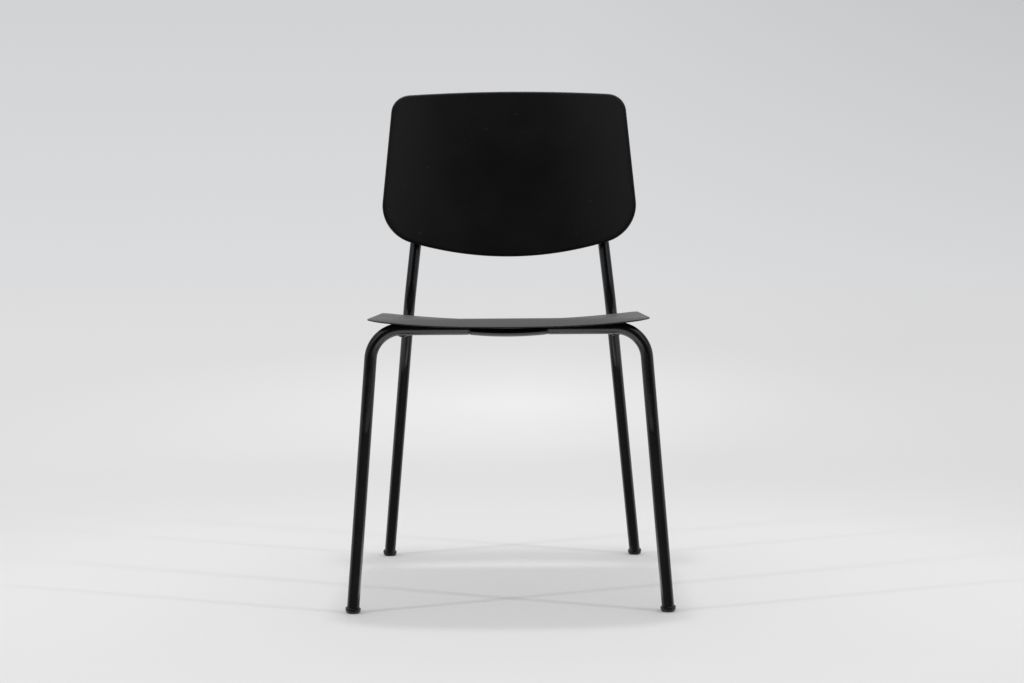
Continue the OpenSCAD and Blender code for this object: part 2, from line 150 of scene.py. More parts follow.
PHOTO_WIDTH = 1024
HALF_PIXEL = 0.5
SENSOR_WIDTH = 36
FARTHEST = 60
OVERHEAD = (-0.01, -0.09)
SIDE_LAMP = (2.7, -1.35, 1.35)
SIDE_LAMP_SIZE = (0.07, 0.5)
BOX = (1.7, -1.3, 1.7)
LOOKED_AT = (0, 0, 0.2)
CARD_HEIGHT = 0.001
GLOW_REACH = (0.8, 1.9)
FAR_REACH = (2.0, 14.0)
FAR_TONE = 0.968
# Painted shade on the matte floor: darker in front and lighter behind, over this depth
FLOOR_SHADE_DEPTH = (-0.5, 0.5)
FLOOR_SHADE_TONES = (0.96, 1.05)
DARK_DEPTH = (-1.30, -0.85)
# A painted pool of light in the floor's far glow, in front of the chair
POOL_PLACE = (0, -0.80, 0)
POOL_SCALE = (0.50, 0.27, 1)
POOL_GLOW = 0.17
WHITE = (1, 1, 1, 1)
BLACK = (0, 0, 0, 1)

# The seen wall: where it turns from its low to its high, darker tone, and how its right side
# darkens; both are painted shade

HORIZON = (-0.04, 0.12)
HIGH_TONE = 0.895
ASIDE = (0.02, 0.30)
ASIDE_TONE = 0.95
ASIDE_SHADE = (0.05, 0.15)

# The mirrored room, dark in front: axis, range, share and tone of each turn, or none for dark

ROOM = (
    ("Y", (-0.85, -0.35), 1, 0.85),
    ("Y", (0.0, 0.6), 1, 1.0),
    ("Z", (0.08, 0.40), 0.6, None),
    ("Z", (0.55, 0.8), 1, 1.3),
)

# Moulded and turned finishes by slot, the range of noise that clouds them, and dust's colour

MOULDED = {
    "seat_plastic": {"cells": 1500, "rough": (0.44, 0.54), "grain": 0.3,
                     "haze": 0.155, "gloss": 0.22},
    "seat_underside": {"cells": 1500, "rough": (0.55, 0.65), "grain": 0.5,
                       "haze": 0.0, "gloss": 0.14},
    "back_plastic": {"cells": 1500, "rough": (0.35, 0.45), "grain": 0.5,
                     "haze": 0.0, "gloss": 0.30},
    "trim_plastic": {"cells": 2200, "rough": (0.40, 0.48), "grain": 0.3,
                     "haze": 0.0, "gloss": 0.5},
}
TURNED = {"insert_brass": 0.3, "screw_steel": 0.32}
CLOUDED = (0.3, 0.7)
DUST = (0.06, 0.06, 0.058, 1)


def length(name, description, default):
    """A length in metres."""
    return FloatProperty(name=name, description=description, default=default,
                         precision=4, subtype="DISTANCE", unit="LENGTH")


def angle(name, description, default):
    """An angle, given in degrees and kept in radians."""
    return FloatProperty(name=name, description=description, default=radians(default),
                         subtype="ANGLE", unit="ROTATION")


def amount(name, description, default, unit="NONE"):
    """A plain number, or one with a unit."""
    return FloatProperty(name=name, description=description, default=default, unit=unit)


def colour(name, description, default):
    """A linear colour."""
    return FloatVectorProperty(name=name, description=description, default=default,
                               size=3, min=0, max=1, subtype="COLOR")


class TubeSizes(PropertyGroup):
    """Sizes of the bent steel frame."""
    leg_tube: length("Leg tube", "Outer diameter of the leg tubes", 0.019)
    leg_wall: length("Leg tube wall", "Wall of the leg tubes", 0.0015)
    rail_tube: length("Rail tube", "Outer diameter of the rails under the seat", 0.016)
    front_spread: length("Front spread", "Distance between the front feet", 0.482)
    front_splay: angle("Front splay", "Sideways slant of the front legs", 4.8)
    front_lean: angle("Front lean", "Forward lean of the front legs", 2)
    front_bend: length("Front bend", "Radius of the bends of the crossbar", 0.048)
    saddle_length: length("Saddle length", "Length of the pressed saddle", 0.117)
    saddle_dip: length("Saddle dip", "Dip of the saddle below the crossbar", 0.003)
    saddle_height: length("Saddle height", "Height of the pressed tube", 0.0125)
    saddle_crease: length("Saddle crease", "Length of each crease beside the saddle", 0.0045)
    rear_spread: length("Rear spread", "Distance between the rear feet", 0.4386)
    wheelbase: length("Wheelbase", "Distance from the front feet to the rear feet", 0.486)
    rear_tilt: angle("Rear tilt", "Inward slant of the rear legs", 6.15)
    rear_rake: angle("Rear rake", "Rake of the rear legs", 17.9)
    recline: angle("Recline", "Recline of the uprights", 10)
    bend_rise: length("Bend rise", "Height of the rear bend above the seat's crest", 0.0155)
    rear_bend: length("Rear bend", "Radius of the rear bends", 0.110)
    upright_drop: length("Upright drop", "Uprights' tops below the back's upper edge", 0.030)
    rail_outset: length("Rail outset", "Rails outside the crossbar's straight stretch", 0.004)
    rail_clearance: length("Rail clearance", "Seat's lowest line above the rails' ends", 0.003)
    rear_bar_inset: length("Rear bar inset", "Rear crossbar in front of the rails' ends", 0.054)
    weld: length("Weld", "Thickness of the weld beads", 0.0023)


class ShellSizes(PropertyGroup):
    """Sizes of the two moulded shells."""
    seat_height: length("Seat height", "Height of the seat's crest", 0.4495)
    seat_width: length("Seat width", "Width of the seat", 0.427)
    seat_wall: length("Seat wall", "Thickness of the seat shell", 0.0045)
    seat_rim: length("Seat rim", "Thickness of the seat shell's thinned rim", 0.0020)
    seat_nose: length("Seat nose", "Reach of the front edge in front of the crest", 0.073)
    seat_heel: length("Seat heel", "Bow of the rear edge behind the side edges", 0.030)
    seat_rear_gap: length("Seat rear gap", "Gap between the seat and the rear legs", 0.012)
    nose_roll: length("Nose roll", "Radius of the downward roll at the front", 0.300)
    seat_slope: angle("Seat slope", "Backward slope of the side edges", 1.2)
    dish_depth: length("Dish depth", "Depth of the dish", 0.019)
    dish_start: length("Dish start", "Start of the dish in front of the crest", 0.020)
    dish_low: length("Dish low", "Lowest line of the dish in front of the rear edge", 0.118)
    dish_rise: length("Dish rise", "Rise of the dish to the rear edge", 0.006)
    back_rise: length("Back rise", "Lower edge of the back above the seat's crest", 0.0855)
    back_length: length("Back length", "Length of the back along its middle", 0.283)
    back_width: length("Back width", "Width of the back at its widest line", 0.4254)
    back_wide_line: length("Back wide line", "Height of the back's widest line", 0.084)
    back_wall: length("Back wall", "Thickness of the back shell", 0.0045)
    back_recline: angle("Back recline", "Recline of the back shell", 8)
    back_hollow: length("Back hollow", "Radius of the back's hollow", 0.520)
    back_slant: angle("Back slant", "Inward slant of the back's side edges", 5.3)
    back_top: length("Back top", "Radius of the back's top edge", 1.320)
    back_bottom: length("Back bottom", "Radius of the back's lower edge", 0.655)
    back_top_corner: length("Back top corner", "Radius of the upper corners", 0.034)
    back_low_corner: length("Back low corner", "Radius of the lower corners", 0.062)
    back_setback: length("Back setback", "Back shell behind the uprights' axes", 0.001)
    face_easing: length("Face easing", "Rounding of the back's edges on the sitter's side", 0.0009)
    rear_easing: length("Rear easing", "Rounding of the back's edges on the far side", 0.0030)


class FittingSizes(PropertyGroup):
    """Sizes of the fixings, feet, plugs and buffers."""
    seat_screw: length("Seat screw", "Thread diameter of the seat screws", 0.006)
    back_screw: length("Back screw", "Thread diameter of the back screws", 0.005)
    seat_boss: length("Seat boss", "Diameter of the bosses under the seat", 0.015)
    back_boss: length("Back boss", "Diameter of the bosses behind the back", 0.014)
    bracket_plate: length("Bracket plate", "Thickness of the seat brackets", 0.003)
    bracket_width: length("Bracket width", "Width of the seat brackets", 0.030)
    bracket_reach: length("Bracket reach", "Reach from the rail's axis to the hole", 0.026)
    seat_front_fixing: length("Seat front fixing", "Front screws behind the crest", 0.050)
    seat_rear_fixing: length("Seat rear fixing", "Rear screws before the rear edge", 0.073)
    back_low_fixing: length("Back low fixing", "Lower screws above the lower edge", 0.070)
    back_high_fixing: length("Back high fixing", "Upper screws below the upper edge", 0.063)
    glide: length("Glide", "Diameter of the glides", 0.024)
    glide_height: length("Glide height", "Tube ends above the floor, along the leg", 0.009)
    glide_sole: length("Glide sole", "Radius of the flat sole", 0.009)
    glide_dome: length("Glide dome", "Radius of the glide's dome", 0.014)
    glide_stem: length("Glide stem", "Length of the stem inside the tube", 0.020)
    plug_dome: length("Plug dome", "Height of the plugs' domes", 0.003)
    buffer_length: length("Buffer length", "Length of the stacking buffers", 0.026)
    buffer_wall: length("Buffer wall", "Wall of the stacking buffers", 0.003)
    buffer_wrap: angle("Buffer wrap", "How far a buffer wraps round its rail", 210)


class FinishColours(PropertyGroup):
    """Colours of the finishes."""
    frame_paint: colour("Frame paint", "Powder coat of the steel", (0.0018, 0.0018, 0.0020))
    seat_plastic: colour("Seat plastic", "Moulded seat", (0.0045, 0.0045, 0.0045))
    seat_underside: colour("Seat underside", "Dull face under the seat", (0.0045, 0.0045, 0.0045))
    back_plastic: colour("Back plastic", "Moulded back", (0.0014, 0.0014, 0.0013))
    trim_plastic: colour("Trim plastic", "Plugs and buffers", (0.003, 0.003, 0.003))
    glide_plastic: colour("Glide plastic", "Glides", (0.002, 0.002, 0.002))
    insert_brass: colour("Insert brass", "Threaded inserts", (0.60, 0.43, 0.19))
    screw_steel: colour("Screw steel", "Screws", (0.10, 0.10, 0.105))
    floor: colour("Floor", "Studio floor", (0.86, 0.86, 0.86))
    floor_glow: colour("Floor glow", "Floor far from the chair", (0.742, 0.742, 0.746))
    backdrop: colour("Backdrop", "Studio backdrop", (0.718, 0.722, 0.732))


class StudioSizes(PropertyGroup):
    """The camera, the lamps and the cards that only gloss sees."""
    eye_height: length("Eye height", "Height of the camera", 0.6002)
    eye_distance: length("Eye distance", "Camera in front of the front feet", 2.7918)
    eye_side: length("Eye side", "Camera to the right of the chair's middle", 0.022)
    pitch: angle("Pitch", "Downward tilt of the camera", 3.815)
    roll: angle("Roll", "Roll of the camera", 0.40)
    focal_pixels: amount("Focal length", "Focal length in pixels", 1850)
    centre_pixel: amount("Chair's middle", "Column of the chair's middle", 509.3)
    floor_radius: length("Floor radius", "Radius of the studio floor", 14)
    lamp_size: length("Lamp size", "Side of the overhead lamp", 0.18)
    lamp_height: length("Lamp height", "Height of the overhead lamp", 2.2)
    lamp_power: amount("Lamp power", "Power of the overhead lamp", 7, "POWER")
    side_power: amount("Side power", "Power of each side lamp", 18, "POWER")
    side_fill: amount("Side fill", "Light from all around", 1.06)
    top_fill: amount("Top fill", "Light from straight above", 0.50)
    front_dark: amount("Front dark", "How bright gloss sees the room's front", 0.05)
    card_width: length("Card width", "Width of the grey cards", 0.70)
    card_gap: length("Card gap", "Grey cards in front of the feet", 0.016)
    card_lean: angle("Card lean", "How far the grey cards lean away from the legs", 8)
    front_card: length("Front card", "Height of the front grey card", 0.27)
    rear_card: length("Rear card", "Height of the rear grey card", 0.34)
    grey_glow: amount("Grey glow", "Brightness of the grey cards", 0.15)
    white_width: length("White width", "Width of the white card under the crossbar", 0.32)
    white_card: length("White card", "Depth of the white card under the crossbar", 0.42)
    white_glow: amount("White glow", "Brightness of the white card", 2.0)
    apron_width: length("Apron width", "Width of the card ahead", 0.62)
    apron_card: length("Apron card", "Depth of the card ahead", 0.85)
    apron_gap: length("Apron gap", "Card ahead in front of the feet", 0.22)
    apron_glow: amount("Apron glow", "Brightness of the card ahead", 1.5)
    box_size: length("Box size", "Side of the two high boxes", 1.5)
    box_glow: amount("Box glow", "Brightness of the two high boxes", 0.9)


GROUPS = {
    "chair_tubes": TubeSizes,
    "chair_shells": ShellSizes,
    "chair_fittings": FittingSizes,
    "chair_colours": FinishColours,
    "chair_studio": StudioSizes,
}


def tubes():
    return bpy.context.scene.chair_tubes


def shells():
    return bpy.context.scene.chair_shells


def fittings():
    return bpy.context.scene.chair_fittings


def colours():
    return bpy.context.scene.chair_colours


def studio():
    return bpy.context.scene.chair_studio


def rows_and_sides(rows):
    """Each row's name with each side's name and sign."""
    return [(row, name, side) for row in rows for name, side in SIDES]


# Places on the chair, worked out from the sizes as the construction does

def move(x=0.0, y=0.0, z=0.0):
    return Matrix.Translation((x, y, z))


def turn(swing, axis):
    return Matrix.Rotation(swing, 4, axis)


def beside(place, side):
    """A place given for the right side, on either side."""
    return Vector((side * place[0], place[1], place[2]))


def tube_radius():
    return tubes().leg_tube / 2


def front_y():
    """The line of the front feet: the seat's nose is as far forward as the frame's box begins."""
    return SEAT_FRONT + shells().seat_nose


def ease(share):
    """A value that eases from 0 to 1."""
    held = max(0.0, min(1.0, share))
    return held * held * (3 - 2 * held)


def leg_x(z):
    t = tubes()
    return t.rear_spread / 2 - z * tan(t.rear_tilt)


def leg_depth(z):
    t = tubes()
    return t.wheelbase - z / cos(t.rear_tilt) * tan(t.rear_rake)


def bend_height():
    return shells().seat_height + tubes().bend_rise


def upright_depth(z):
    t = tubes()
    return leg_depth(bend_height()) + (z - bend_height()) / cos(t.rear_tilt) * tan(t.recline)


def seat_back():
    s = shells()
    rear_face = leg_depth(s.seat_height) - tube_radius() / cos(tubes().rear_rake)
    return rear_face - s.seat_rear_gap


def roll_height(depth):
    """Height of the seat's side edges."""
    s = shells()
    rate = tan(s.seat_slope)
    end = s.nose_roll * rate
    if depth < end:
        return s.seat_height - depth * depth / (2 * s.nose_roll)
    return s.seat_height - end * end / (2 * s.nose_roll) - rate * (depth - end)


def dish(depth):
    s = shells()
    low = seat_back() - s.dish_low
    sink = s.dish_depth * ease((depth + s.dish_start) / (low + s.dish_start))
    return sink - s.dish_rise * ease((depth - low) / (seat_back() - low))


def seat_surface(x, depth):
    """Height of the seat's top."""
    across = x / (shells().seat_width / 2)
    return roll_height(depth) - dish(depth) * (1 - across * across)


def bar_depth():
    return -shells().seat_height * sin(tubes().front_lean)


def bar_height():
    """Height of the crossbar's axis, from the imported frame."""
    return BAR_TOP - tube_radius()


def bar_half():
    """Half the straight stretch of the crossbar."""
    t = tubes()
    rise = bar_height() / cos(t.front_lean)
    tangent = t.front_bend * tan((pi / 2 - t.front_splay) / 2)
    return t.front_spread / 2 - rise * tan(t.front_splay) - tangent


def rail_ends(side):
    """The axis of a side rail, from the crossbar to the rear leg."""
    t = tubes()
    s = shells()
    radius = t.rail_tube / 2
    low = roll_height(seat_back() - s.dish_low) - s.dish_depth - s.seat_wall - radius
    rear = low - t.rail_clearance
    start = Vector((side * (bar_half() + t.rail_outset), front_y() + bar_depth(),
                    bar_height() - tube_radius() + radius))
    end = Vector((side * leg_x(rear), front_y() + leg_depth(rear), rear))
    return start, end


def rail_point(side, depth):
    """The point of a rail's axis at a distance behind the front feet."""
    start, end = rail_ends(side)
    share = (front_y() + depth - start.y) / (end.y - start.y)
    return start.lerp(end, share)


def rear_bar_depth():
    return rail_ends(1)[1].y - tubes().rear_bar_inset - front_y()


def bracket_depth(row):
    f = fittings()
    return f.seat_front_fixing if row == "front" else seat_back() - f.seat_rear_fixing


def bracket_place(row, side):
    """The top of a bracket at its hole."""
    depth = bracket_depth(row)
    rail = rail_point(side, depth)
    return Vector((rail.x - side * fittings().bracket_reach, rail.y,
                   rail.z + fittings().bracket_plate / 2))


def aim(place, direction):
    """A place whose Z axis points along a direction, turned as the construction turns a rail."""
    flat = sqrt(direction.x ** 2 + direction.y ** 2)
    return (Matrix.Translation(place) @ turn(atan2(direction.y, direction.x), "Z")
            @ turn(atan2(flat, direction.z), "Y"))


def front_foot(side):
    """The floor end of a front leg, its Z axis along the leg and its Y axis inwards."""
    t = tubes()
    return (move(side * t.front_spread / 2, front_y()) @ turn(t.front_lean, "X")
            @ turn(side * pi / 2, "Z") @ turn(-t.front_splay, "X"))


def rear_foot(side):
    """The floor end of a rear leg, its Z axis along the leg."""
    t = tubes()
    return (move(side * t.rear_spread / 2, front_y() + t.wheelbase)
            @ turn(-side * t.rear_tilt, "Y") @ turn(t.rear_rake, "X"))


def rear_turn():
    return tubes().rear_rake + tubes().recline


def rear_lengths():
    """Straight lengths of a rear leg and of its upright."""
    t = tubes()
    s = shells()
    tangent = t.rear_bend * tan(rear_turn() / 2)
    top = back_height() + s.back_length * cos(s.back_recline) - t.upright_drop
    bend = bend_height() / cos(t.rear_tilt)
    leg = bend / cos(t.rear_rake) - tangent
    upright = (top / cos(t.rear_tilt) - bend) / cos(t.recline) - tangent
    return leg, upright


def back_height():
    return shells().seat_height + shells().back_rise


def back_frame():
    """The middle of the back's lower edge, its Z axis up the shell."""
    s = shells()
    depth = upright_depth(back_height()) + s.back_setback
    return move(0, front_y() + depth, back_height()) @ turn(-s.back_recline, "X")


def back_axis(height):
    """Where an upright's axis runs in the back's own frame, as x and depth."""
    s = shells()
    rate = tan(tubes().recline) / cos(tubes().rear_tilt)
    rise = ((height + s.back_setback * sin(s.back_recline))
            / (rate * sin(s.back_recline) + cos(s.back_recline)))
    depth = rate * rise - s.back_setback
    return (leg_x(back_height() + rise),
            depth * cos(s.back_recline) - rise * sin(s.back_recline))


def back_fixing(row):
    f = fittings()
    return f.back_low_fixing if row == "lower" else shells().back_length - f.back_high_fixing


# Mesh helpers

def add_object(name, mesh):
    """Turns a bmesh into an object of the scene."""
    data = bpy.data.meshes.new(name)
    mesh.to_mesh(data)
    mesh.free()
    made = bpy.data.objects.new(name, data)
    bpy.context.scene.collection.objects.link(made)
    return made


def finish_piece(name, mesh, slot, replaced=(), sharp=None, lining=None):
    """Turns a bmesh into a finished piece with its material, riding on the chair."""
    piece = add_object(name, mesh)
    for face in piece.data.polygons:
        face.use_smooth = True
    if sharp is not None:
        piece.data.set_sharp_from_angle(angle=sharp)
    piece.data.materials.append(finish(slot))
    if lining is not None:
        piece.data.materials.append(finish(lining))
    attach(piece, ROOT)
    if replaced:
        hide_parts(*replaced)


def new_verts(found):
    return [item for item in found["geom"] if isinstance(item, bmesh.types.BMVert)]


def new_edges(found):
    return [item for item in found["geom"] if isinstance(item, bmesh.types.BMEdge)]


def sweep(mesh, stations, segments, closed=False):
    """Carries a unit ring through stations, each a matrix that places and scales it."""
    made = bmesh.ops.create_circle(mesh, cap_ends=False, segments=segments, radius=1,
                                   matrix=stations[0])
    first = list({edge for vert in made["verts"] for edge in vert.link_edges})
    edges = first
    for before, after in zip(stations, stations[1:]):
        grown = bmesh.ops.extrude_edge_only(mesh, edges=edges)
        verts = new_verts(grown)
        bmesh.ops.transform(mesh, matrix=after @ before.inverted(), verts=verts)
        kept = set(verts)
        edges = [e for e in new_edges(grown) if e.verts[0] in kept and e.verts[1] in kept]
    if closed:
        bmesh.ops.bridge_loops(mesh, edges=first + edges)
    else:
        bmesh.ops.edgeloop_fill(mesh, edges=first)
        bmesh.ops.edgeloop_fill(mesh, edges=edges)
    bmesh.ops.recalc_face_normals(mesh, faces=mesh.faces)


def lathe(mesh, profile, place, segments):
    """Spins a profile of (radius, height) points round the Z axis of a place."""
    verts = [mesh.verts.new((radius, 0, height)) for radius, height in profile]
    edges = [mesh.edges.new(pair) for pair in zip(verts, verts[1:])]
    bmesh.ops.spin(mesh, geom=verts + edges, cent=(0, 0, 0), axis=(0, 0, 1), angle=2 * pi,
                   steps=segments, use_merge=True)
    bmesh.ops.remove_doubles(mesh, verts=mesh.verts, dist=MERGED)
    bmesh.ops.recalc_face_normals(mesh, faces=mesh.faces)
    bmesh.ops.transform(mesh, matrix=place, verts=mesh.verts)


def tube_piece(name, stations, ring, node):
    """A painted tube through its stations."""
    mesh = bmesh.new()
    sweep(mesh, stations, ring)
    finish_piece(name, mesh, "frame_paint", [node], TUBE_SHARP)


def turned_piece(name, profile, place, ring, slot, replaced, sharp):
    """A piece that is round about the Z axis of its place."""
    mesh = bmesh.new()
    lathe(mesh, profile, place, ring)
    finish_piece(name, mesh, slot, replaced, sharp)


def follow(start, stretches):
    """Places along a bent tube. A stretch is (length, count) or (radius, angle, count)."""
    places = [start]
    for stretch in stretches:
        if len(stretch) == 2:
            step = move(z=stretch[0] / stretch[1])
            count = stretch[1]
        else:
            radius, swept, count = stretch
            part = swept / count
            step = move(0, radius * (1 - cos(part)), radius * sin(part)) @ turn(-part, "X")
        for _ in range(count):
            places.append(places[-1] @ step)
    return places


def scaled(place, width, height=None):
    """A place whose unit ring is scaled to a width along X and a height along Y."""
    tall = width if height is None else height
    return place @ Matrix.Diagonal((width, tall, 1, 1))


def round_stations(places, radius):
    return [scaled(place, radius) for place in places]


def rounded_rim(radius, height, size, count):
    """Points of a rounded rim, from its side inwards and up to a height."""
    return [(radius - size + size * cos(step * pi / 2 / count),
             height - size + size * sin(step * pi / 2 / count))
            for step in range(count + 1)]


def bevel(mesh, edges, offset, segments):
    bmesh.ops.bevel(mesh, geom=edges, offset=offset, offset_type="OFFSET", segments=segments,
                    profile=0.5, affect="EDGES", material=-1, clamp_overlap=True)


def sharp_edges(mesh, least):
    return [e for e in mesh.edges if len(e.link_faces) == 2 and e.calc_face_angle(0) > least]


def sampled(curve, start, end, count):
    """Points of a curve between two angles."""
    return [curve(start + (end - start) * step / count) for step in range(count + 1)]


def flipped(points):
    return [(-x, y) for x, y in points]


def both_halves(points):
    """A whole line from its right half, which starts in the middle."""
    return flipped(points[:0:-1]) + points


def measured(points):
    """A line of points with its running length, for reading at equal steps."""
    lengths = [0.0]
    for before, after in zip(points, points[1:]):
        lengths.append(lengths[-1] + (Vector(after) - Vector(before)).length)
    return points, lengths


def read_line(line, share):
    """The point at a share of a measured line's length."""
    points, lengths = line
    goal = share * lengths[-1]
    low = 0
    high = len(lengths) - 1
    while high - low > 1:
        middle = (low + high) // 2
        if lengths[middle] <= goal:
            low = middle
        else:
            high = middle
    stretch = lengths[high] - lengths[low]
    part = (goal - lengths[low]) / stretch if stretch else 0
    return Vector(points[low]).lerp(Vector(points[high]), part)


def patch(sides, u, v):
    """A point inside four border lines: front, right, rear and left."""
    front, right, rear, left = sides
    ruled = read_line(front, u) * (1 - v) + read_line(rear, u) * v
    ruled += read_line(left, v) * (1 - u) + read_line(right, v) * u
    twice = read_line(front, 0) * (1 - u) * (1 - v) + read_line(front, 1) * u * (1 - v)
    twice += read_line(rear, 0) * (1 - u) * v + read_line(rear, 1) * u * v
    return ruled - twice


def shell(mesh, sides, grid, lift, wall, rim, face_easing, rear_easing):
    """A moulded sheet: a grid drawn to an outline, lifted, walled, thinned to its rim, eased."""
    middle = (read_line(sides[0], 0.5) + read_line(sides[2], 0.5)) / 2
    bmesh.ops.create_grid(mesh, x_segments=grid[0], y_segments=grid[1], size=1)
    for vert in mesh.verts:
        flat = patch(sides, (vert.co.x + 1) / 2, (vert.co.y + 1) / 2)
        flat = middle + (flat - middle) * INNER_GRID
        vert.co = (flat.x, flat.y, 0)
    border = [edge for edge in mesh.edges if edge.is_boundary]
    grown = bmesh.ops.extrude_edge_only(mesh, edges=border)
    for vert in new_verts(grown):
        flat = middle + (vert.co.xy - middle) / INNER_GRID
        vert.co = (flat.x, flat.y, 0)
    for vert in mesh.verts:
        vert.co = lift(vert.co.x, vert.co.y)
    bmesh.ops.recalc_face_normals(mesh, faces=mesh.faces)
    face = set(mesh.verts)
    bmesh.ops.solidify(mesh, geom=mesh.faces[:], thickness=wall)
    bmesh.ops.recalc_face_normals(mesh, faces=mesh.faces)
    for edge in mesh.edges:
        ends = sorted(edge.verts, key=lambda vert: vert not in face)
        if ends[0] in face and ends[1] not in face:
            ends[1].co = ends[0].co.lerp(ends[1].co, rim / wall)
    rims = sharp_edges(mesh, EASED)
    near = [edge for edge in rims if edge.verts[0] in face and edge.verts[1] in face]
    far = [edge for edge in rims if edge.verts[0] not in face and edge.verts[1] not in face]
    bevel(mesh, far, rear_easing, segments=5)
    near = [edge for edge in near if edge.is_valid]
    bevel(mesh, near, face_easing, segments=3)


# Finishes

def put(tree, kind, values=None, **settings):
    """Adds a node, with settings and with values or links for its inputs."""
    made = tree.nodes.new(kind)
    for name, value in settings.items():
        setattr(made, name, value)
    for name, value in (values or {}).items():
        if isinstance(value, bpy.types.NodeSocket):
            tree.links.new(value, made.inputs[name])
        else:
            made.inputs[name].default_value = value
    return made


def noise(tree, place, scale, detail=2.0, rough=0.5):
    made = put(tree, "ShaderNodeTexNoise", {"Vector": place, "Scale": scale, "Detail": detail,
                                            "Roughness": rough})
    return made.outputs["Fac"]


def span(tree, value, low, high, over=(0.0, 1.0)):
    """Maps a value over a range to another range, held at its ends."""
    made = put(tree, "ShaderNodeMapRange", {"Value": value, "From Min": over[0],
                                            "From Max": over[1], "To Min": low, "To Max": high})
    return made.outputs["Result"]


def combine(tree, operation, first, second):
    made = put(tree, "ShaderNodeMath", {0: first, 1: second}, operation=operation)
    return made.outputs["Value"]


def times(tree, first, second):
    return combine(tree, "MULTIPLY", first, second)


def split(tree, place):
    return put(tree, "ShaderNodeSeparateXYZ", {"Vector": place}).outputs


def blend_colour(tree, share, first, second):
    made = put(tree, "ShaderNodeMix", {0: share, 6: first, 7: second}, data_type="RGBA")
    return made.outputs[2]


def streaks(tree, place, scale, detail, rough=0.5):
    """Noise that is drawn out along an axis."""
    drawn = put(tree, "ShaderNodeMapping", {"Vector": place, "Scale": scale})
    return noise(tree, drawn.outputs["Vector"], 1, detail, rough)


def bump(tree, height, strength, distance, below=None):
    values = {"Height": height, "Strength": strength, "Distance": distance}
    if below is not None:
        values["Normal"] = below
    return put(tree, "ShaderNodeBump", values).outputs["Normal"]


def mix_shaders(tree, share, first, second):
    return put(tree, "ShaderNodeMixShader", {0: share, 1: first, 2: second}).outputs["Shader"]


def glowing(tree, seen_colour, strength):
    made = put(tree, "ShaderNodeEmission", {"Color": seen_colour, "Strength": strength})
    return made.outputs["Emission"]


def surround(tree, seen_colour, strength=1.0):
    made = put(tree, "ShaderNodeBackground", {"Color": seen_colour, "Strength": strength})
    return made.outputs["Background"]


def clear(tree):
    return put(tree, "ShaderNodeBsdfTransparent").outputs["BSDF"]


def from_behind(tree):
    return put(tree, "ShaderNodeNewGeometry").outputs["Backfacing"]


def unlit(name):
    """A new material without its ready-made shader, and its tree."""
    made = bpy.data.materials.new(name)
    made.use_nodes = True
    made.node_tree.nodes.remove(made.node_tree.nodes["Principled BSDF"])
    return made, made.node_tree


def shader(name, **sockets):
    """A new material, with its tree, its principled shader and its object coordinates."""
    made = bpy.data.materials.new(name)
    made.use_nodes = True
    tree = made.node_tree
    principled = tree.nodes["Principled BSDF"]
    for socket, value in sockets.items():
        principled.inputs[socket.replace("_", " ")].default_value = value
    place = put(tree, "ShaderNodeTexCoord").outputs["Object"]
    return made, tree, principled, place


def tone(base, factor):
    """A colour made lighter or darker, with its alpha."""
    return (*[min(1.0, part * factor) for part in base], 1.0)


def cloudy(tree, cloud, base, low, high):
    """A colour that drifts between two tones."""
    return blend_colour(tree, span(tree, cloud, 0, 1, CLOUDED), tone(base, low), tone(base, high))


def join(tree, principled, paint, rough, normal):
    tree.links.new(paint, principled.inputs["Base Color"])
    tree.links.new(rough, principled.inputs["Roughness"])
    tree.links.new(normal, principled.inputs["Normal"])


def powder_coat(name, base):
    """Satin black powder coat: soft orange peel, fine grain and scuffs near the floor."""
    made, tree, principled, place = shader(name)
    peel = noise(tree, place, scale=520, detail=2)
    grain = noise(tree, place, scale=2600, detail=1)
    cloud = noise(tree, place, scale=38, detail=3)
    low = span(tree, split(tree, place)["Z"], 1, 0, over=(0.0, 0.09))
    scratch = span(tree, streaks(tree, place, scale=(260, 260, 34), detail=3), 0, 1,
                   over=(0.62, 0.70))
    scuff = times(tree, low, scratch)
    paint = cloudy(tree, cloud, base, low=0.8, high=1.25)
    paint = blend_colour(tree, scuff, paint, tone(base, factor=3.2))
    rough = span(tree, cloud, low=0.17, high=0.25, over=CLOUDED)
    rough = combine(tree, "ADD", rough, times(tree, scuff, 0.18))
    normal = bump(tree, peel, strength=0.30, distance=0.0004)
    normal = bump(tree, grain, strength=0.10, distance=0.0001, below=normal)
    join(tree, principled, paint, rough, normal)
    return made


def moulded(name, base, cells, rough, grain, haze, gloss):
    """Moulded plastic with a fine etched grain, faint handling marks and flecks of dust."""
    made, tree, principled, place = shader(name, Sheen_Weight=haze, Sheen_Roughness=0.9,
                                           Specular_IOR_Level=gloss)
    etched = put(tree, "ShaderNodeTexVoronoi", {"Vector": place, "Scale": cells},
                 feature="SMOOTH_F1").outputs["Distance"]
    fine = noise(tree, place, scale=cells * 2.3, detail=2)
    cloud = noise(tree, place, scale=9, detail=3)
    mark = span(tree, streaks(tree, place, scale=(70, 12, 70), detail=4, rough=0.6), 0, 1,
                over=(0.58, 0.75))
    worn = combine(tree, "SUBTRACT", span(tree, cloud, *rough, CLOUDED), times(tree, mark, 0.05))
    flecks = put(tree, "ShaderNodeTexVoronoi", {"Vector": place, "Scale": 80.0}).outputs
    chosen = put(tree, "ShaderNodeSeparateColor", {"Color": flecks["Color"]}).outputs["Red"]
    dust = times(tree, span(tree, flecks["Distance"], 1, 0, over=(0.045, 0.085)),
                 span(tree, chosen, 0, 1, over=(0.76, 0.92)))
    paint = blend_colour(tree, dust, cloudy(tree, cloud, base, low=0.85, high=1.15), DUST)
    normal = bump(tree, etched, strength=grain, distance=0.0002)
    normal = bump(tree, fine, strength=grain / 2, distance=0.0001, below=normal)
    join(tree, principled, paint, worn, normal)
    return made


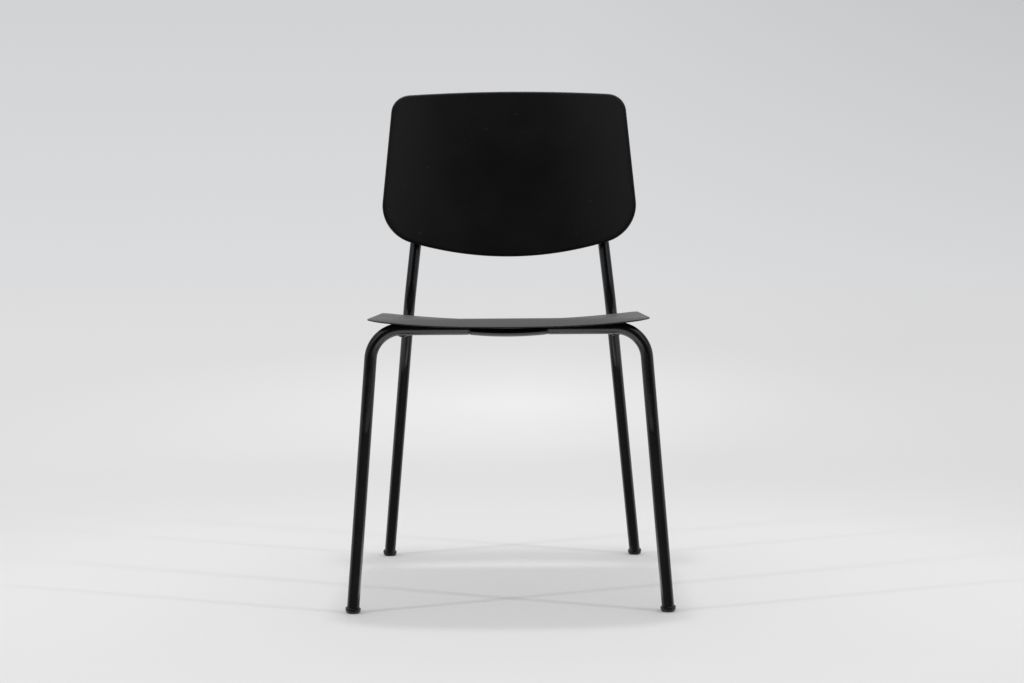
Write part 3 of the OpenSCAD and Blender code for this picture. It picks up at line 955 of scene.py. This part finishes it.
def glossy_moulded(name, base):
    """Smooth half-gloss plastic with scuffs on its lowest edge."""
    made, tree, principled, place = shader(name, Coat_Weight=0.6, Coat_Roughness=0.05,
                                           Specular_IOR_Level=0.3)
    cloud = noise(tree, place, scale=120, detail=3)
    worn = times(tree, span(tree, split(tree, place)["Z"], 1, 0, over=(0.0, 0.004)),
                 span(tree, noise(tree, place, scale=900, detail=2), 0, 1, over=(0.4, 0.6)))
    paint = blend_colour(tree, worn, tone(base, factor=1), tone(base, factor=5))
    rough = span(tree, cloud, low=0.25, high=0.35, over=CLOUDED)
    rough = combine(tree, "ADD", rough, times(tree, worn, 0.3))
    normal = bump(tree, cloud, strength=0.08, distance=0.0003)
    join(tree, principled, paint, rough, normal)
    return made


def turned_metal(name, base, rough):
    """Bare metal with fine turning marks."""
    made, tree, principled, place = shader(name, Metallic=1.0)
    marks = noise(tree, place, scale=3200, detail=2)
    cloud = noise(tree, place, scale=300, detail=2)
    join(tree, principled, cloudy(tree, cloud, base, low=0.8, high=1.2),
         span(tree, marks, rough - 0.06, rough + 0.08, CLOUDED),
         bump(tree, marks, strength=0.15, distance=0.00008))
    return made


def finish(slot):
    """The material of a slot, made once."""
    name = slot + "_finish"
    if name in bpy.data.materials:
        return bpy.data.materials[name]
    base = tuple(getattr(colours(), slot))
    if slot in MOULDED:
        made = moulded(slot, base, **MOULDED[slot])
    elif slot in TURNED:
        made = turned_metal(slot, base, TURNED[slot])
    elif slot == "glide_plastic":
        made = glossy_moulded(slot, base)
    else:
        made = powder_coat(slot, base)
    made.name = name
    return made


class CHAIR_OT_stage(Operator):
    """Build the floor, the light and the camera"""
    bl_idname = "chair.stage"
    bl_label = "Stage"

    def execute(self, context):
        self.floor()
        self.cards()
        self.world(context.scene)
        self.lamps()
        self.camera(context.scene)
        context.scene.view_settings.view_transform = "Standard"
        return {"FINISHED"}

    def floor(self):
        """A pale floor that takes the chair's shadow, with painted shade in front, and runs out
        into a glow with a painted pool of light and painted shade to its right and far off.
        """
        mesh = bmesh.new()
        bmesh.ops.create_circle(mesh, cap_ends=True, segments=FLOOR_RING,
                                radius=studio().floor_radius)
        floor = add_object("studio_floor", mesh)
        made, tree = unlit("studio_floor")
        place = put(tree, "ShaderNodeTexCoord").outputs["Object"]
        reach = put(tree, "ShaderNodeVectorMath", {0: place}, operation="LENGTH").outputs["Value"]
        parts = split(tree, place)
        seen = put(tree, "ShaderNodeLightPath").outputs
        glossy = seen["Is Glossy Ray"]
        looked = combine(tree, "MAXIMUM", seen["Is Camera Ray"], glossy)
        share = times(tree, span(tree, reach, 0, 1, GLOW_REACH), looked)
        # Painted light and shade in the far glow: a brighter pool ahead of the chair, darker to
        # the right and further off
        pool = put(tree, "ShaderNodeMapping", {"Vector": place, "Location": POOL_PLACE,
                                               "Scale": POOL_SCALE}).outputs["Vector"]
        pool = put(tree, "ShaderNodeTexGradient", {"Vector": pool},
                   gradient_type="QUADRATIC_SPHERE").outputs["Fac"]
        aside = span(tree, combine(tree, "DIVIDE", parts["X"], reach), 1.0, ASIDE_TONE, ASIDE)
        far = times(tree, span(tree, reach, 1.0, FAR_TONE, FAR_REACH), aside)
        bright = combine(tree, "ADD", far, times(tree, pool, POOL_GLOW))
        front = span(tree, parts["Y"], studio().front_dark, 1.0, DARK_DEPTH)
        dimmed = combine(tree, "ADD", times(tree, glossy, front),
                         combine(tree, "SUBTRACT", 1.0, glossy))
        # Painted shade and light: the matte floor is darker in front and lighter behind
        paint = blend_colour(tree, span(tree, parts["Y"], 0, 1, FLOOR_SHADE_DEPTH),
                             *[tone(colours().floor, factor) for factor in FLOOR_SHADE_TONES])
        matte = put(tree, "ShaderNodeBsdfDiffuse", {"Color": paint}).outputs["BSDF"]
        glow = glowing(tree, tone(colours().floor_glow, 1), times(tree, bright, dimmed))
        below = times(tree, from_behind(tree), seen["Is Camera Ray"])
        whole = mix_shaders(tree, below, mix_shaders(tree, share, matte, glow), clear(tree))
        tree.links.new(whole, tree.nodes["Material Output"].inputs["Surface"])
        floor.data.materials.append(made)

    def cards(self):
        """Grey cards before the legs, white ones under the crossbar and ahead, and two boxes."""
        s = studio()
        t = tubes()
        gap = front_y() - s.card_gap
        front = move(0, gap) @ turn(pi / 2 + t.front_lean + s.card_lean, "X")
        rear = move(0, gap + t.wheelbase) @ turn(pi / 2 + t.rear_rake + s.card_lean, "X")
        self.card("studio_card_front", front, s.card_width, s.front_card, s.grey_glow)
        self.card("studio_card_rear", rear, s.card_width, s.rear_card, s.grey_glow)
        under = move(0, front_y() + s.white_card / 2, CARD_HEIGHT) @ turn(pi, "X")
        self.card("studio_card_floor", under, s.white_width, s.white_card, s.white_glow)
        ahead = move(0, front_y() - s.apron_gap, CARD_HEIGHT) @ turn(pi, "X")
        self.card("studio_card_apron", ahead, s.apron_width, s.apron_card, s.apron_glow)
        for name, side in SIDES:
            place = self.facing(beside(BOX, side)) @ move(y=-s.box_size / 2)
            self.card("studio_box_" + name, place, s.box_size, s.box_size, s.box_glow)

    def facing(self, place):
        """A place that looks at the chair along its own -Z axis."""
        swing = (Vector(LOOKED_AT) - place).to_track_quat("-Z", "Y")
        return Matrix.Translation(place) @ swing.to_matrix().to_4x4()

    def card(self, name, place, width, tall, glow):
        """A card that is seen only in gloss, and only from its front."""
        made, tree = unlit(name)
        whole = mix_shaders(tree, from_behind(tree), glowing(tree, WHITE, glow), clear(tree))
        tree.links.new(whole, tree.nodes["Material Output"].inputs["Surface"])
        mesh = bmesh.new()
        bmesh.ops.create_grid(mesh, x_segments=1, y_segments=1, size=0.5)
        bmesh.ops.scale(mesh, vec=(width, tall, 1), verts=mesh.verts)
        bmesh.ops.translate(mesh, vec=(0, tall / 2, 0), verts=mesh.verts)
        bmesh.ops.reverse_faces(mesh, faces=mesh.faces)
        bmesh.ops.transform(mesh, matrix=place, verts=mesh.verts)
        card = add_object(name, mesh)
        card.data.materials.append(made)
        card.visible_camera = False
        card.visible_diffuse = False
        card.visible_shadow = False
        card.visible_transmission = False

    def world(self, scene):
        """A pale wall for what is seen, a room that is dark in front for gloss, and plain fill."""
        made = bpy.data.worlds.new("studio_world")
        scene.world = made
        made.cycles.sampling_method = "NONE"
        made.use_nodes = True
        tree = made.node_tree
        seen = put(tree, "ShaderNodeLightPath").outputs
        parts = split(tree, put(tree, "ShaderNodeTexCoord").outputs["Generated"])
        backdrop = colours().backdrop
        # Painted shade on the seen wall: a darker tone above the horizon and a darker right side
        wall = blend_colour(tree, span(tree, parts["Z"], 0, 1, HORIZON), tone(backdrop, 1.0),
                            tone(backdrop, HIGH_TONE))
        shade = times(tree, span(tree, parts["X"], 0, 1, ASIDE),
                      span(tree, parts["Z"], *ASIDE_SHADE, HORIZON))
        wall = blend_colour(tree, shade, wall, BLACK)
        dark = tone(backdrop, studio().front_dark)
        room = dark
        for axis, over, most, factor in ROOM:
            after = dark if factor is None else tone(backdrop, factor)
            room = blend_colour(tree, span(tree, parts[axis], 0, most, over), room, after)
        fill = span(tree, parts["Z"], studio().side_fill, studio().top_fill)
        lit = mix_shaders(tree, seen["Is Glossy Ray"], surround(tree, WHITE, fill),
                          surround(tree, room))
        looked = combine(tree, "MAXIMUM", seen["Is Camera Ray"], seen["Is Transmission Ray"])
        whole = mix_shaders(tree, looked, lit, surround(tree, wall))
        tree.links.new(whole, tree.nodes["World Output"].inputs["Surface"])

    def lamps(self):
        """A lamp straight above the seat and a narrow soft box on either side."""
        s = studio()
        self.lamp("overhead_light", Vector((*OVERHEAD, s.lamp_height)), s.lamp_size, s.lamp_size,
                  s.lamp_power)
        for name, side in SIDES:
            lamp = self.lamp("side_light_" + name, beside(SIDE_LAMP, side), *SIDE_LAMP_SIZE,
                             s.side_power)
            lamp.visible_glossy = False

    def lamp(self, name, place, width, height, power):
        """An area lamp that faces the seat."""
        light = bpy.data.lights.new(name, "AREA")
        light.shape = "RECTANGLE"
        light.size = width
        light.size_y = height
        light.energy = power
        lamp = bpy.data.objects.new(name, light)
        bpy.context.scene.collection.objects.link(lamp)
        lamp.matrix_world = self.facing(place)
        return lamp

    def camera(self, scene):
        s = studio()
        data = bpy.data.cameras.new("camera")
        data.sensor_fit = "HORIZONTAL"
        data.sensor_width = SENSOR_WIDTH
        data.lens = s.focal_pixels / PHOTO_WIDTH * SENSOR_WIDTH
        data.shift_x = (PHOTO_WIDTH / 2 - s.centre_pixel - HALF_PIXEL) / PHOTO_WIDTH
        data.clip_end = FARTHEST
        camera = bpy.data.objects.new("camera", data)
        swing = atan2(s.eye_side, s.eye_distance + tubes().wheelbase / 2)
        camera.matrix_world = (move(s.eye_side, front_y() - s.eye_distance, s.eye_height)
                               @ turn(swing, "Z") @ turn(pi / 2 - s.pitch, "X")
                               @ turn(-s.roll, "Z"))
        scene.collection.objects.link(camera)
        scene.camera = camera


class CHAIR_OT_front_tube(Operator):
    """Bend the front legs and crossbar, with the pressed saddle"""
    bl_idname = "chair.front_tube"
    bl_label = "Front tube"

    def execute(self, context):
        t = tubes()
        rise = bar_height() / cos(t.front_lean)
        turned = pi / 2 - t.front_splay
        leg = (rise / cos(t.front_splay) - t.front_bend * tan(turned / 2)
               - fittings().glide_height)
        start = front_foot(-1) @ move(z=fittings().glide_height)
        pressed = t.saddle_length / 2 + 2 * t.saddle_crease
        straight = bar_half() - pressed
        bend = (t.front_bend, turned, FRONT_BEND_STEPS)
        places = follow(start, [(leg, LEG_STEPS), bend, (straight, BAR_STEPS)])
        beyond = follow(places[-1] @ move(z=2 * pressed),
                        [(straight, BAR_STEPS), bend, (leg, LEG_STEPS)])
        stations = round_stations(places, tube_radius()) + self.saddle(places[-1], pressed)
        stations += round_stations(beyond, tube_radius())
        tube_piece("front_leg_tube", stations, TUBE_RING, "front_leg_frame")
        return {"FINISHED"}

    def saddle(self, start, pressed):
        """Stations where the tube is flattened and bowed down, with a crease at either end."""
        t = tubes()
        stations = []
        for index in range(1, SADDLE_STEPS):
            along = 2 * pressed * index / SADDLE_STEPS
            away = abs(along - pressed)
            flat = ease((t.saddle_length / 2 + t.saddle_crease / 2 - away) / t.saddle_crease)
            bow = max(0.0, 1 - (2 * away / t.saddle_length) ** 2)
            nick = NICK_DEPTH * exp(-((away - t.saddle_length / 2) / NICK_REACH) ** 2)
            tall = t.leg_tube + (t.saddle_height - t.leg_tube) * flat
            wide = t.leg_tube + (t.leg_tube - tall) * PRESSED_SPREAD
            drop = tube_radius() + t.saddle_dip * bow - nick - tall / 2
            stations.append(scaled(start @ move(0, drop, along), wide / 2, tall / 2))
        return stations


class CHAIR_OT_rear_tubes(Operator):
    """Bend the rear legs and their uprights"""
    bl_idname = "chair.rear_tubes"
    bl_label = "Rear tubes"

    def execute(self, context):
        leg, upright = rear_lengths()
        foot = fittings().glide_height
        for name, side in SIDES:
            places = follow(rear_foot(side) @ move(z=foot),
                            [(leg - foot, LEG_STEPS),
                             (tubes().rear_bend, rear_turn(), REAR_BEND_STEPS),
                             (upright, UPRIGHT_STEPS)])
            tube_piece("rear_leg_tube_" + name, round_stations(places, tube_radius()), TUBE_RING,
                       "rear_leg_" + name)
        return {"FINISHED"}


class CHAIR_OT_rails(Operator):
    """Run the side rails and the rear crossbar under the seat"""
    bl_idname = "chair.rails"
    bl_label = "Rails"

    def execute(self, context):
        for name, side in SIDES:
            start, end = rail_ends(side)
            self.rod("side_rail_tube_" + name, start, end, RAIL_INSET, "side_rail_" + name)
        ends = [rail_point(side, rear_bar_depth()) for name, side in SIDES]
        self.rod("rear_crossbar_tube", ends[0], ends[1], BAR_INSET, "rear_crossbar")
        return {"FINISHED"}

    def rod(self, name, start, end, inset, node):
        """A round tube between two axes, its ends hidden in the tubes that it meets."""
        places = follow(aim(start, end - start) @ move(z=inset),
                        [((end - start).length - 2 * inset, ROD_STEPS)])
        tube_piece(name, round_stations(places, tubes().rail_tube / 2), ROD_RING, node)


class CHAIR_OT_welds(Operator):
    """Lay the weld beads round the joints of the rails"""
    bl_idname = "chair.welds"
    bl_label = "Welds"

    def execute(self, context):
        rail = tubes().rail_tube / 2
        for name, side in SIDES:
            start, end = rail_ends(side)
            along = (end - start).normalized()
            self.bead("weld_rail_front_" + name, start, along, rail,
                      Vector((start.x, start.y, bar_height())), Vector((1, 0, 0)), tube_radius())
            leg = (rear_foot(side).to_3x3() @ Vector((0, 0, 1))).normalized()
            self.bead("weld_rail_rear_" + name, end, -along, rail, rear_foot(side).translation,
                      leg, tube_radius())
            joint = rail_point(side, rear_bar_depth())
            self.bead("weld_crossbar_" + name, joint, Vector((-side, 0, 0)), rail, joint, along,
                      rail)
        return {"FINISHED"}

    def bead(self, name, place, direction, radius, axis_point, axis, axis_radius):
        """A bead round a rod where it leaves a round tube, with the ripples of the weld."""
        begin = aim(place, direction)
        points = []
        for index in range(WELD_STEPS):
            swing = 2 * pi * index / WELD_STEPS
            rim = begin @ Vector((radius * cos(swing), radius * sin(swing), 0))
            away = leave(rim, direction, axis_point, axis, axis_radius)
            points.append(rim + direction * max(away, BEAD_REACH * axis_radius))
        stations = []
        for index, point in enumerate(points):
            ahead = (points[(index + 1) % WELD_STEPS] - points[index - 1]).normalized()
            ripple = 1 + RIPPLE * sin(index * 2 * pi / RIPPLE_POINTS)
            stations.append(scaled(aim(point, ahead), tubes().weld / 2 * ripple))
        mesh = bmesh.new()
        sweep(mesh, stations, BEAD_RING, closed=True)
        finish_piece(name, mesh, "frame_paint")


def leave(point, direction, axis_point, axis, radius):
    """How far along a direction a ray that starts in a round tube leaves it."""
    flat_ray = direction - axis * direction.dot(axis)
    offset = point - axis_point
    flat_offset = offset - axis * offset.dot(axis)
    a = flat_ray.length_squared
    b = flat_ray.dot(flat_offset)
    c = flat_offset.length_squared - radius ** 2
    return (-b + sqrt(max(0.0, b * b - a * c))) / a


class CHAIR_OT_brackets(Operator):
    """Cut the seat brackets and ease their edges"""
    bl_idname = "chair.brackets"
    bl_label = "Seat brackets"

    def execute(self, context):
        f = fittings()
        half = f.bracket_width / 2
        outline = [(f.bracket_reach, -half), (f.bracket_reach, half)]
        outline += [(-half * sin(pi * step / PLATE_STEPS), half * cos(pi * step / PLATE_STEPS))
                    for step in range(PLATE_STEPS + 1)]
        for row, name, side in rows_and_sides(SEAT_ROWS):
            mesh = bmesh.new()
            face = mesh.faces.new([mesh.verts.new((x, y, 0)) for x, y in outline])
            grown = bmesh.ops.extrude_face_region(mesh, geom=[face])
            bmesh.ops.translate(mesh, vec=(0, 0, -f.bracket_plate), verts=new_verts(grown))
            bmesh.ops.recalc_face_normals(mesh, faces=mesh.faces)
            bevel(mesh, sharp_edges(mesh, EASED), PLATE_EASING, segments=3)
            if side < 0:
                bmesh.ops.rotate(mesh, matrix=turn(pi, "Z"), verts=mesh.verts)
            bmesh.ops.translate(mesh, vec=bracket_place(row, side), verts=mesh.verts)
            finish_piece(f"bracket_plate_{row}_{name}", mesh, "frame_paint",
                         [f"seat_bracket_{row}_{name}"], PLATE_SHARP)
        return {"FINISHED"}


class CHAIR_OT_seat(Operator):
    """Mould the seat shell and its bosses"""
    bl_idname = "chair.seat"
    bl_label = "Seat shell"

    def execute(self, context):
        s = shells()
        mesh = bmesh.new()
        shell(mesh, self.sides(), SEAT_GRID, self.lift, s.seat_wall, s.seat_rim,
              s.seat_rim * SEAT_EASINGS[0], s.seat_rim * SEAT_EASINGS[1])
        for face in mesh.faces:
            face.material_index = 1 if face.normal.z < 0 else 0
        finish_piece("seat_panel", mesh, "seat_plastic", ["seat_shell"], SHELL_SHARP,
                     "seat_underside")
        self.bosses()
        return {"FINISHED"}

    def lift(self, x, depth):
        return (x, front_y() + depth, seat_surface(x, depth))

    def sides(self):
        """The seat's outline in plan as four lines that meet on its corners."""
        s = shells()
        half = s.seat_width / 2
        side = seat_back() - s.seat_heel
        front_corner, rear_corner = SEAT_CORNERS

        def front(a):
            return (half * sin(a) ** SEAT_POWERS[0], -s.seat_nose * cos(a))

        def rear(a):
            return (half * sin(a) ** SEAT_POWERS[1], side + s.seat_heel * cos(a))

        front_line = both_halves(sampled(front, 0, front_corner, OUTLINE_STEPS))
        right = (sampled(front, front_corner, pi / 2, OUTLINE_STEPS)
                 + sampled(rear, pi / 2, rear_corner, OUTLINE_STEPS))
        rear_line = both_halves(sampled(rear, 0, rear_corner, OUTLINE_STEPS))
        return [measured(line) for line in (front_line, right, rear_line, flipped(right))]

    def bosses(self):
        """Bosses for the threaded inserts, flared where they leave the shell."""
        radius = fittings().seat_boss / 2
        for row, name, side in rows_and_sides(SEAT_ROWS):
            foot = bracket_place(row, side)
            tall = seat_surface(foot.x, foot.y - front_y()) - shells().seat_wall - foot.z
            profile = [(0, 0), (radius - BOSS_EASING, 0), (radius, BOSS_EASING)]
            profile += [(radius + out, tall + along) for out, along in SEAT_FLARE]
            profile.append((0, profile[-1][1]))
            turned_piece(f"seat_boss_{row}_{name}", profile, Matrix.Translation(foot), BOSS_RING,
                         "seat_plastic", (), PLATE_SHARP)


class CHAIR_OT_back(Operator):
    """Mould the back shell and its bosses"""
    bl_idname = "chair.back"
    bl_label = "Back shell"

    def execute(self, context):
        s = shells()
        mesh = bmesh.new()
        shell(mesh, self.sides(), BACK_GRID, self.lift, s.back_wall, s.back_wall,
              s.face_easing, s.rear_easing)
        finish_piece("back_panel", mesh, "back_plastic", ["back_shell"], SHELL_SHARP)
        self.bosses()
        return {"FINISHED"}

    def lift(self, x, height):
        hollow = shells().back_hollow
        return back_frame() @ Vector((x, sqrt(hollow ** 2 - x * x) - hollow, height))

    def corner(self, centre, radius, bend, end):
        """Centre of a corner that is tangent to the slanted side and to an edge's arc."""
        s = shells()
        out = Vector((cos(s.back_slant), sin(s.back_slant)))
        along = Vector((-sin(s.back_slant), cos(s.back_slant)))
        middle = Vector((0, centre))
        start = Vector((s.back_width / 2, s.back_wide_line)) - bend * out - middle
        b = start.dot(along)
        root = sqrt(b * b - start.length_squared + (radius - bend) ** 2)
        return start + middle + (end * root - b) * along

    def sides(self):
        """The back's outline as four lines that meet in the middle of its corners."""
        s = shells()
        low_y = s.back_bottom
        top_y = s.back_length - s.back_top
        low = self.corner(low_y, s.back_bottom, s.back_low_corner, -1)
        top = self.corner(top_y, s.back_top, s.back_top_corner, 1)
        low_angle = atan2(low.y - low_y, low.x)
        top_angle = atan2(top.y - top_y, top.x)
        low_middle = (low_angle + s.back_slant) / 2
        top_middle = (top_angle + s.back_slant) / 2

        def arc(centre, radius, start, end):
            return sampled(lambda a: (centre[0] + radius * cos(a), centre[1] + radius * sin(a)),
                           start, end, CORNER_STEPS)

        bottom = (arc((0, low_y), s.back_bottom, -pi / 2, low_angle)
                  + arc(low, s.back_low_corner, low_angle, low_middle))
        right = (arc(low, s.back_low_corner, low_middle, s.back_slant)
                 + arc(top, s.back_top_corner, s.back_slant, top_middle))
        upper = (arc((0, top_y), s.back_top, pi / 2, top_angle)
                 + arc(top, s.back_top_corner, top_angle, top_middle))
        return [measured(line) for line in (both_halves(bottom), right, both_halves(upper),
                                            flipped(right))]

    def bosses(self):
        """Bosses that reach from the shell to the uprights."""
        s = shells()
        radius = fittings().back_boss / 2
        for row, name, side in rows_and_sides(BACK_ROWS):
            height = back_fixing(row)
            across, depth = back_axis(height)
            rear_face = sqrt((s.back_hollow + s.back_wall) ** 2 - across ** 2) - s.back_hollow
            tall = max(depth - tube_radius() + BOSS_SUNK - rear_face, BOSS_LEAST)
            profile = [(radius + out, along) for out, along in BACK_FLARE]
            profile = [(0, profile[0][1])] + profile + [(radius, tall), (0, tall)]
            place = back_frame() @ move(side * across, rear_face, height) @ turn(-pi / 2, "X")
            turned_piece(f"back_boss_{row}_{name}", profile, place, BOSS_RING, "back_plastic", (),
                         PLATE_SHARP)


class CHAIR_OT_screws(Operator):
    """Turn the screws and finish the threaded inserts"""
    bl_idname = "chair.screws"
    bl_label = "Screws"

    def execute(self, context):
        f = fittings()
        s = shells()
        t = tubes()
        for row, name, side in rows_and_sides(SEAT_ROWS):
            under = bracket_place(row, side) - Vector((0, 0, f.bracket_plate))
            self.screw(f"seat_screw_head_{row}_{name}", Matrix.Translation(under), f.seat_screw,
                       SEAT_SHANK, f"seat_screw_{row}_{name}")
        lift = asin(sin(t.recline) * cos(s.back_recline)
                    - cos(t.rear_tilt) * cos(t.recline) * sin(s.back_recline))
        seat = tube_radius() / cos(lift) + f.back_screw * tan(lift)
        for row, name, side in rows_and_sides(BACK_ROWS):
            across, depth = back_axis(back_fixing(row))
            place = (back_frame() @ move(side * across, depth + seat, back_fixing(row))
                     @ turn(pi / 2, "X"))
            self.screw(f"back_screw_head_{row}_{name}", place, f.back_screw,
                       2 * tube_radius() + BACK_SHANK_SPARE, f"back_screw_{row}_{name}")
        for name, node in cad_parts.items():
            if "_insert_" in name:
                for slot in node.material_slots:
                    slot.material = finish("insert_brass")
        return {"FINISHED"}

    def screw(self, name, place, thread, shank, node):
        """A button-head screw that points along Z, with a hexagon socket in its dome."""
        head = thread
        tall = HEAD_HEIGHT * thread
        socket = SOCKET * thread
        rings = [(thread / 2, shank), (thread / 2, 0), (head - HEAD_EASING, 0),
                 (head, -HEAD_EASING)]
        for step in range(1, HEAD_STEPS + 1):
            swing = HEAD_SWING * step / HEAD_STEPS
            rings.append((head * cos(swing) + socket * (1 - cos(swing)),
                          -HEAD_EASING - (tall - HEAD_EASING) * sin(swing) / sin(HEAD_SWING)))
        rings.append((socket * SOCKET_RIM, -tall))
        hexagons = [(socket, -tall + SOCKET_EASING), (socket, -tall * SOCKET_FLOOR)]
        mesh = bmesh.new()
        sweep(mesh, [scaled(move(z=height), radius) for radius, height in rings + hexagons],
              SCREW_RING)
        for radius, height in hexagons:
            for vert in mesh.verts:
                if abs(vert.co.z - height) < NEAR and abs(vert.co.xy.length - radius) < NEAR:
                    swing = atan2(vert.co.y, vert.co.x) % (pi / 3) - pi / 6
                    vert.co.xy *= cos(pi / 6) / cos(swing)
        bmesh.ops.transform(mesh, matrix=place, verts=mesh.verts)
        finish_piece(name, mesh, "screw_steel", [node], FINE_SHARP)


class CHAIR_OT_plugs(Operator):
    """Turn the plugs in the uprights' tops"""
    bl_idname = "chair.plugs"
    bl_label = "Upright plugs"

    def execute(self, context):
        leg, upright = rear_lengths()
        radius = tube_radius()
        bore = radius - tubes().leg_wall
        dome = fittings().plug_dome
        sphere = (radius ** 2 + dome ** 2) / (2 * dome)
        limit = asin((radius - PLUG_EDGE) / sphere)
        profile = [(0, -PLUG_STEM), (bore, -PLUG_STEM), (bore, 0), (radius - PLUG_GAP, 0),
                   (radius, PLUG_RIM)]
        for step in range(PLUG_STEPS + 1):
            share = 1 - step / PLUG_STEPS
            profile.append((sphere * sin(limit * share),
                            dome - sphere + sphere * cos(limit * share) + PLUG_RIM * share))
        for name, side in SIDES:
            top = follow(rear_foot(side), [(leg, 1), (tubes().rear_bend, rear_turn(), 1),
                                           (upright, 1)])[-1]
            turned_piece("upright_plug_cap_" + name, profile, top, PLUG_RING, "trim_plastic",
                         ["upright_plug_" + name], SHELL_SHARP)
        return {"FINISHED"}


class CHAIR_OT_buffers(Operator):
    """Clip the stacking buffers on the side rails"""
    bl_idname = "chair.buffers"
    bl_label = "Stacking buffers"

    def execute(self, context):
        first = bracket_depth("front")
        last = bracket_depth("rear")
        for row, name, side in rows_and_sides(BUFFER_SHARES):
            start, end = rail_ends(side)
            depth = first + (last - first) * BUFFER_SHARES[row]
            self.clip(f"buffer_clip_{row}_{name}", aim(rail_point(side, depth), end - start),
                      f"stacking_buffer_{row}_{name}")
        return {"FINISHED"}

    def clip(self, name, place, node):
        """A section spun part of the way round the rail, with every edge eased."""
        f = fittings()
        inner = tubes().rail_tube / 2 + BUFFER_GAP
        outer = inner + f.buffer_wall
        half = f.buffer_length / 2
        mesh = bmesh.new()
        corners = [(inner, -half), (outer, -half), (outer, half), (inner, half)]
        verts = [mesh.verts.new((radius, 0, height)) for radius, height in corners]
        face = mesh.faces.new(verts)
        bmesh.ops.rotate(mesh, matrix=turn(-f.buffer_wrap / 2, "Z"), verts=verts)
        bmesh.ops.spin(mesh, geom=[face] + list(face.edges) + verts, cent=(0, 0, 0),
                       axis=(0, 0, 1), angle=f.buffer_wrap, steps=BUFFER_STEPS)
        bmesh.ops.remove_doubles(mesh, verts=mesh.verts, dist=MERGED)
        bmesh.ops.recalc_face_normals(mesh, faces=mesh.faces)
        bevel(mesh, sharp_edges(mesh, SHELL_SHARP), BUFFER_EASING, segments=3)
        bmesh.ops.transform(mesh, matrix=place, verts=mesh.verts)
        finish_piece(name, mesh, "trim_plastic", [node], SHELL_SHARP)


class CHAIR_OT_glides(Operator):
    """Turn the glides and cut their soles flat on the floor"""
    bl_idname = "chair.glides"
    bl_label = "Glides"

    def execute(self, context):
        t = tubes()
        front_tilt = acos(cos(t.front_lean) * cos(t.front_splay))
        rear_tilt = acos(cos(t.rear_tilt) * cos(t.rear_rake))
        for name, side in SIDES:
            self.glide("front_" + name, front_foot(side), front_tilt)
            self.glide("rear_" + name, rear_foot(side), rear_tilt)
        return {"FINISHED"}

    def glide(self, name, foot, tilt):
        """A domed foot with a stem in the tube, cut off by the floor."""
        f = fittings()
        radius = f.glide / 2
        dome = f.glide_dome
        centre = sqrt(dome ** 2 - f.glide_sole ** 2) / cos(tilt)
        bore = tube_radius() - tubes().leg_wall
        rim = f.glide_height
        start = asin(radius / dome)
        swings = [start * step / GLIDE_STEPS for step in range(GLIDE_STEPS + 1)]
        profile = [(dome * sin(swing), centre - dome * cos(swing)) for swing in swings]
        profile[-1] = (radius - GLIDE_SIDE[0], profile[-1][1] - GLIDE_SIDE[1])
        profile += rounded_rim(radius, rim, GLIDE_EASING, RIM_STEPS)
        profile += [(tube_radius() + 2 * GLIDE_GAP, rim),
                    (tube_radius() + GLIDE_GAP, rim - GLIDE_LEDGE), (bore, rim - GLIDE_LEDGE),
                    (bore, rim + f.glide_stem), (0, rim + f.glide_stem)]
        mesh = bmesh.new()
        lathe(mesh, profile, foot, GLIDE_RING)
        geometry = mesh.verts[:] + mesh.edges[:] + mesh.faces[:]
        cut = bmesh.ops.bisect_plane(mesh, geom=geometry, dist=NEAR, plane_co=(0, 0, 0),
                                     plane_no=(0, 0, -1), clear_outer=True)
        sole = [item for item in cut["geom_cut"] if isinstance(item, bmesh.types.BMEdge)]
        bmesh.ops.edgeloop_fill(mesh, edges=sole)
        bmesh.ops.recalc_face_normals(mesh, faces=mesh.faces)
        finish_piece("glide_cap_" + name, mesh, "glide_plastic", ["glide_" + name], FINE_SHARP)


STEPS = (
    CHAIR_OT_stage,
    CHAIR_OT_front_tube,
    CHAIR_OT_rear_tubes,
    CHAIR_OT_rails,
    CHAIR_OT_welds,
    CHAIR_OT_brackets,
    CHAIR_OT_seat,
    CHAIR_OT_back,
    CHAIR_OT_screws,
    CHAIR_OT_plugs,
    CHAIR_OT_buffers,
    CHAIR_OT_glides,
)


class CHAIR_PT_panel(Panel):
    """The chair's steps and sizes"""
    bl_idname = "CHAIR_PT_panel"
    bl_label = "Choir Chair"
    bl_space_type = "VIEW_3D"
    bl_region_type = "UI"
    bl_category = "Chair"

    def draw(self, context):
        layout = self.layout
        for step in STEPS:
            layout.operator(step.bl_idname)
        for group in GROUPS:
            box = layout.box()
            owner = getattr(context.scene, group)
            for name in owner.bl_rna.properties.keys():
                if name not in ("rna_type", "name"):
                    box.prop(owner, name)


def register():
    for group in GROUPS.values():
        bpy.utils.register_class(group)
    for name, group in GROUPS.items():
        setattr(bpy.types.Scene, name, PointerProperty(type=group))
    for step in STEPS:
        bpy.utils.register_class(step)
    bpy.utils.register_class(CHAIR_PT_panel)


def unregister():
    bpy.utils.unregister_class(CHAIR_PT_panel)
    for step in reversed(STEPS):
        bpy.utils.unregister_class(step)
    for name in GROUPS:
        delattr(bpy.types.Scene, name)
    for group in GROUPS.values():
        bpy.utils.unregister_class(group)


def main():
    register()
    bpy.ops.chair.stage()
    bpy.ops.chair.front_tube()
    bpy.ops.chair.rear_tubes()
    bpy.ops.chair.rails()
    bpy.ops.chair.welds()
    bpy.ops.chair.brackets()
    bpy.ops.chair.seat()
    bpy.ops.chair.back()
    bpy.ops.chair.screws()
    bpy.ops.chair.plugs()
    bpy.ops.chair.buffers()
    bpy.ops.chair.glides()


if __name__ == "__main__":
    main()
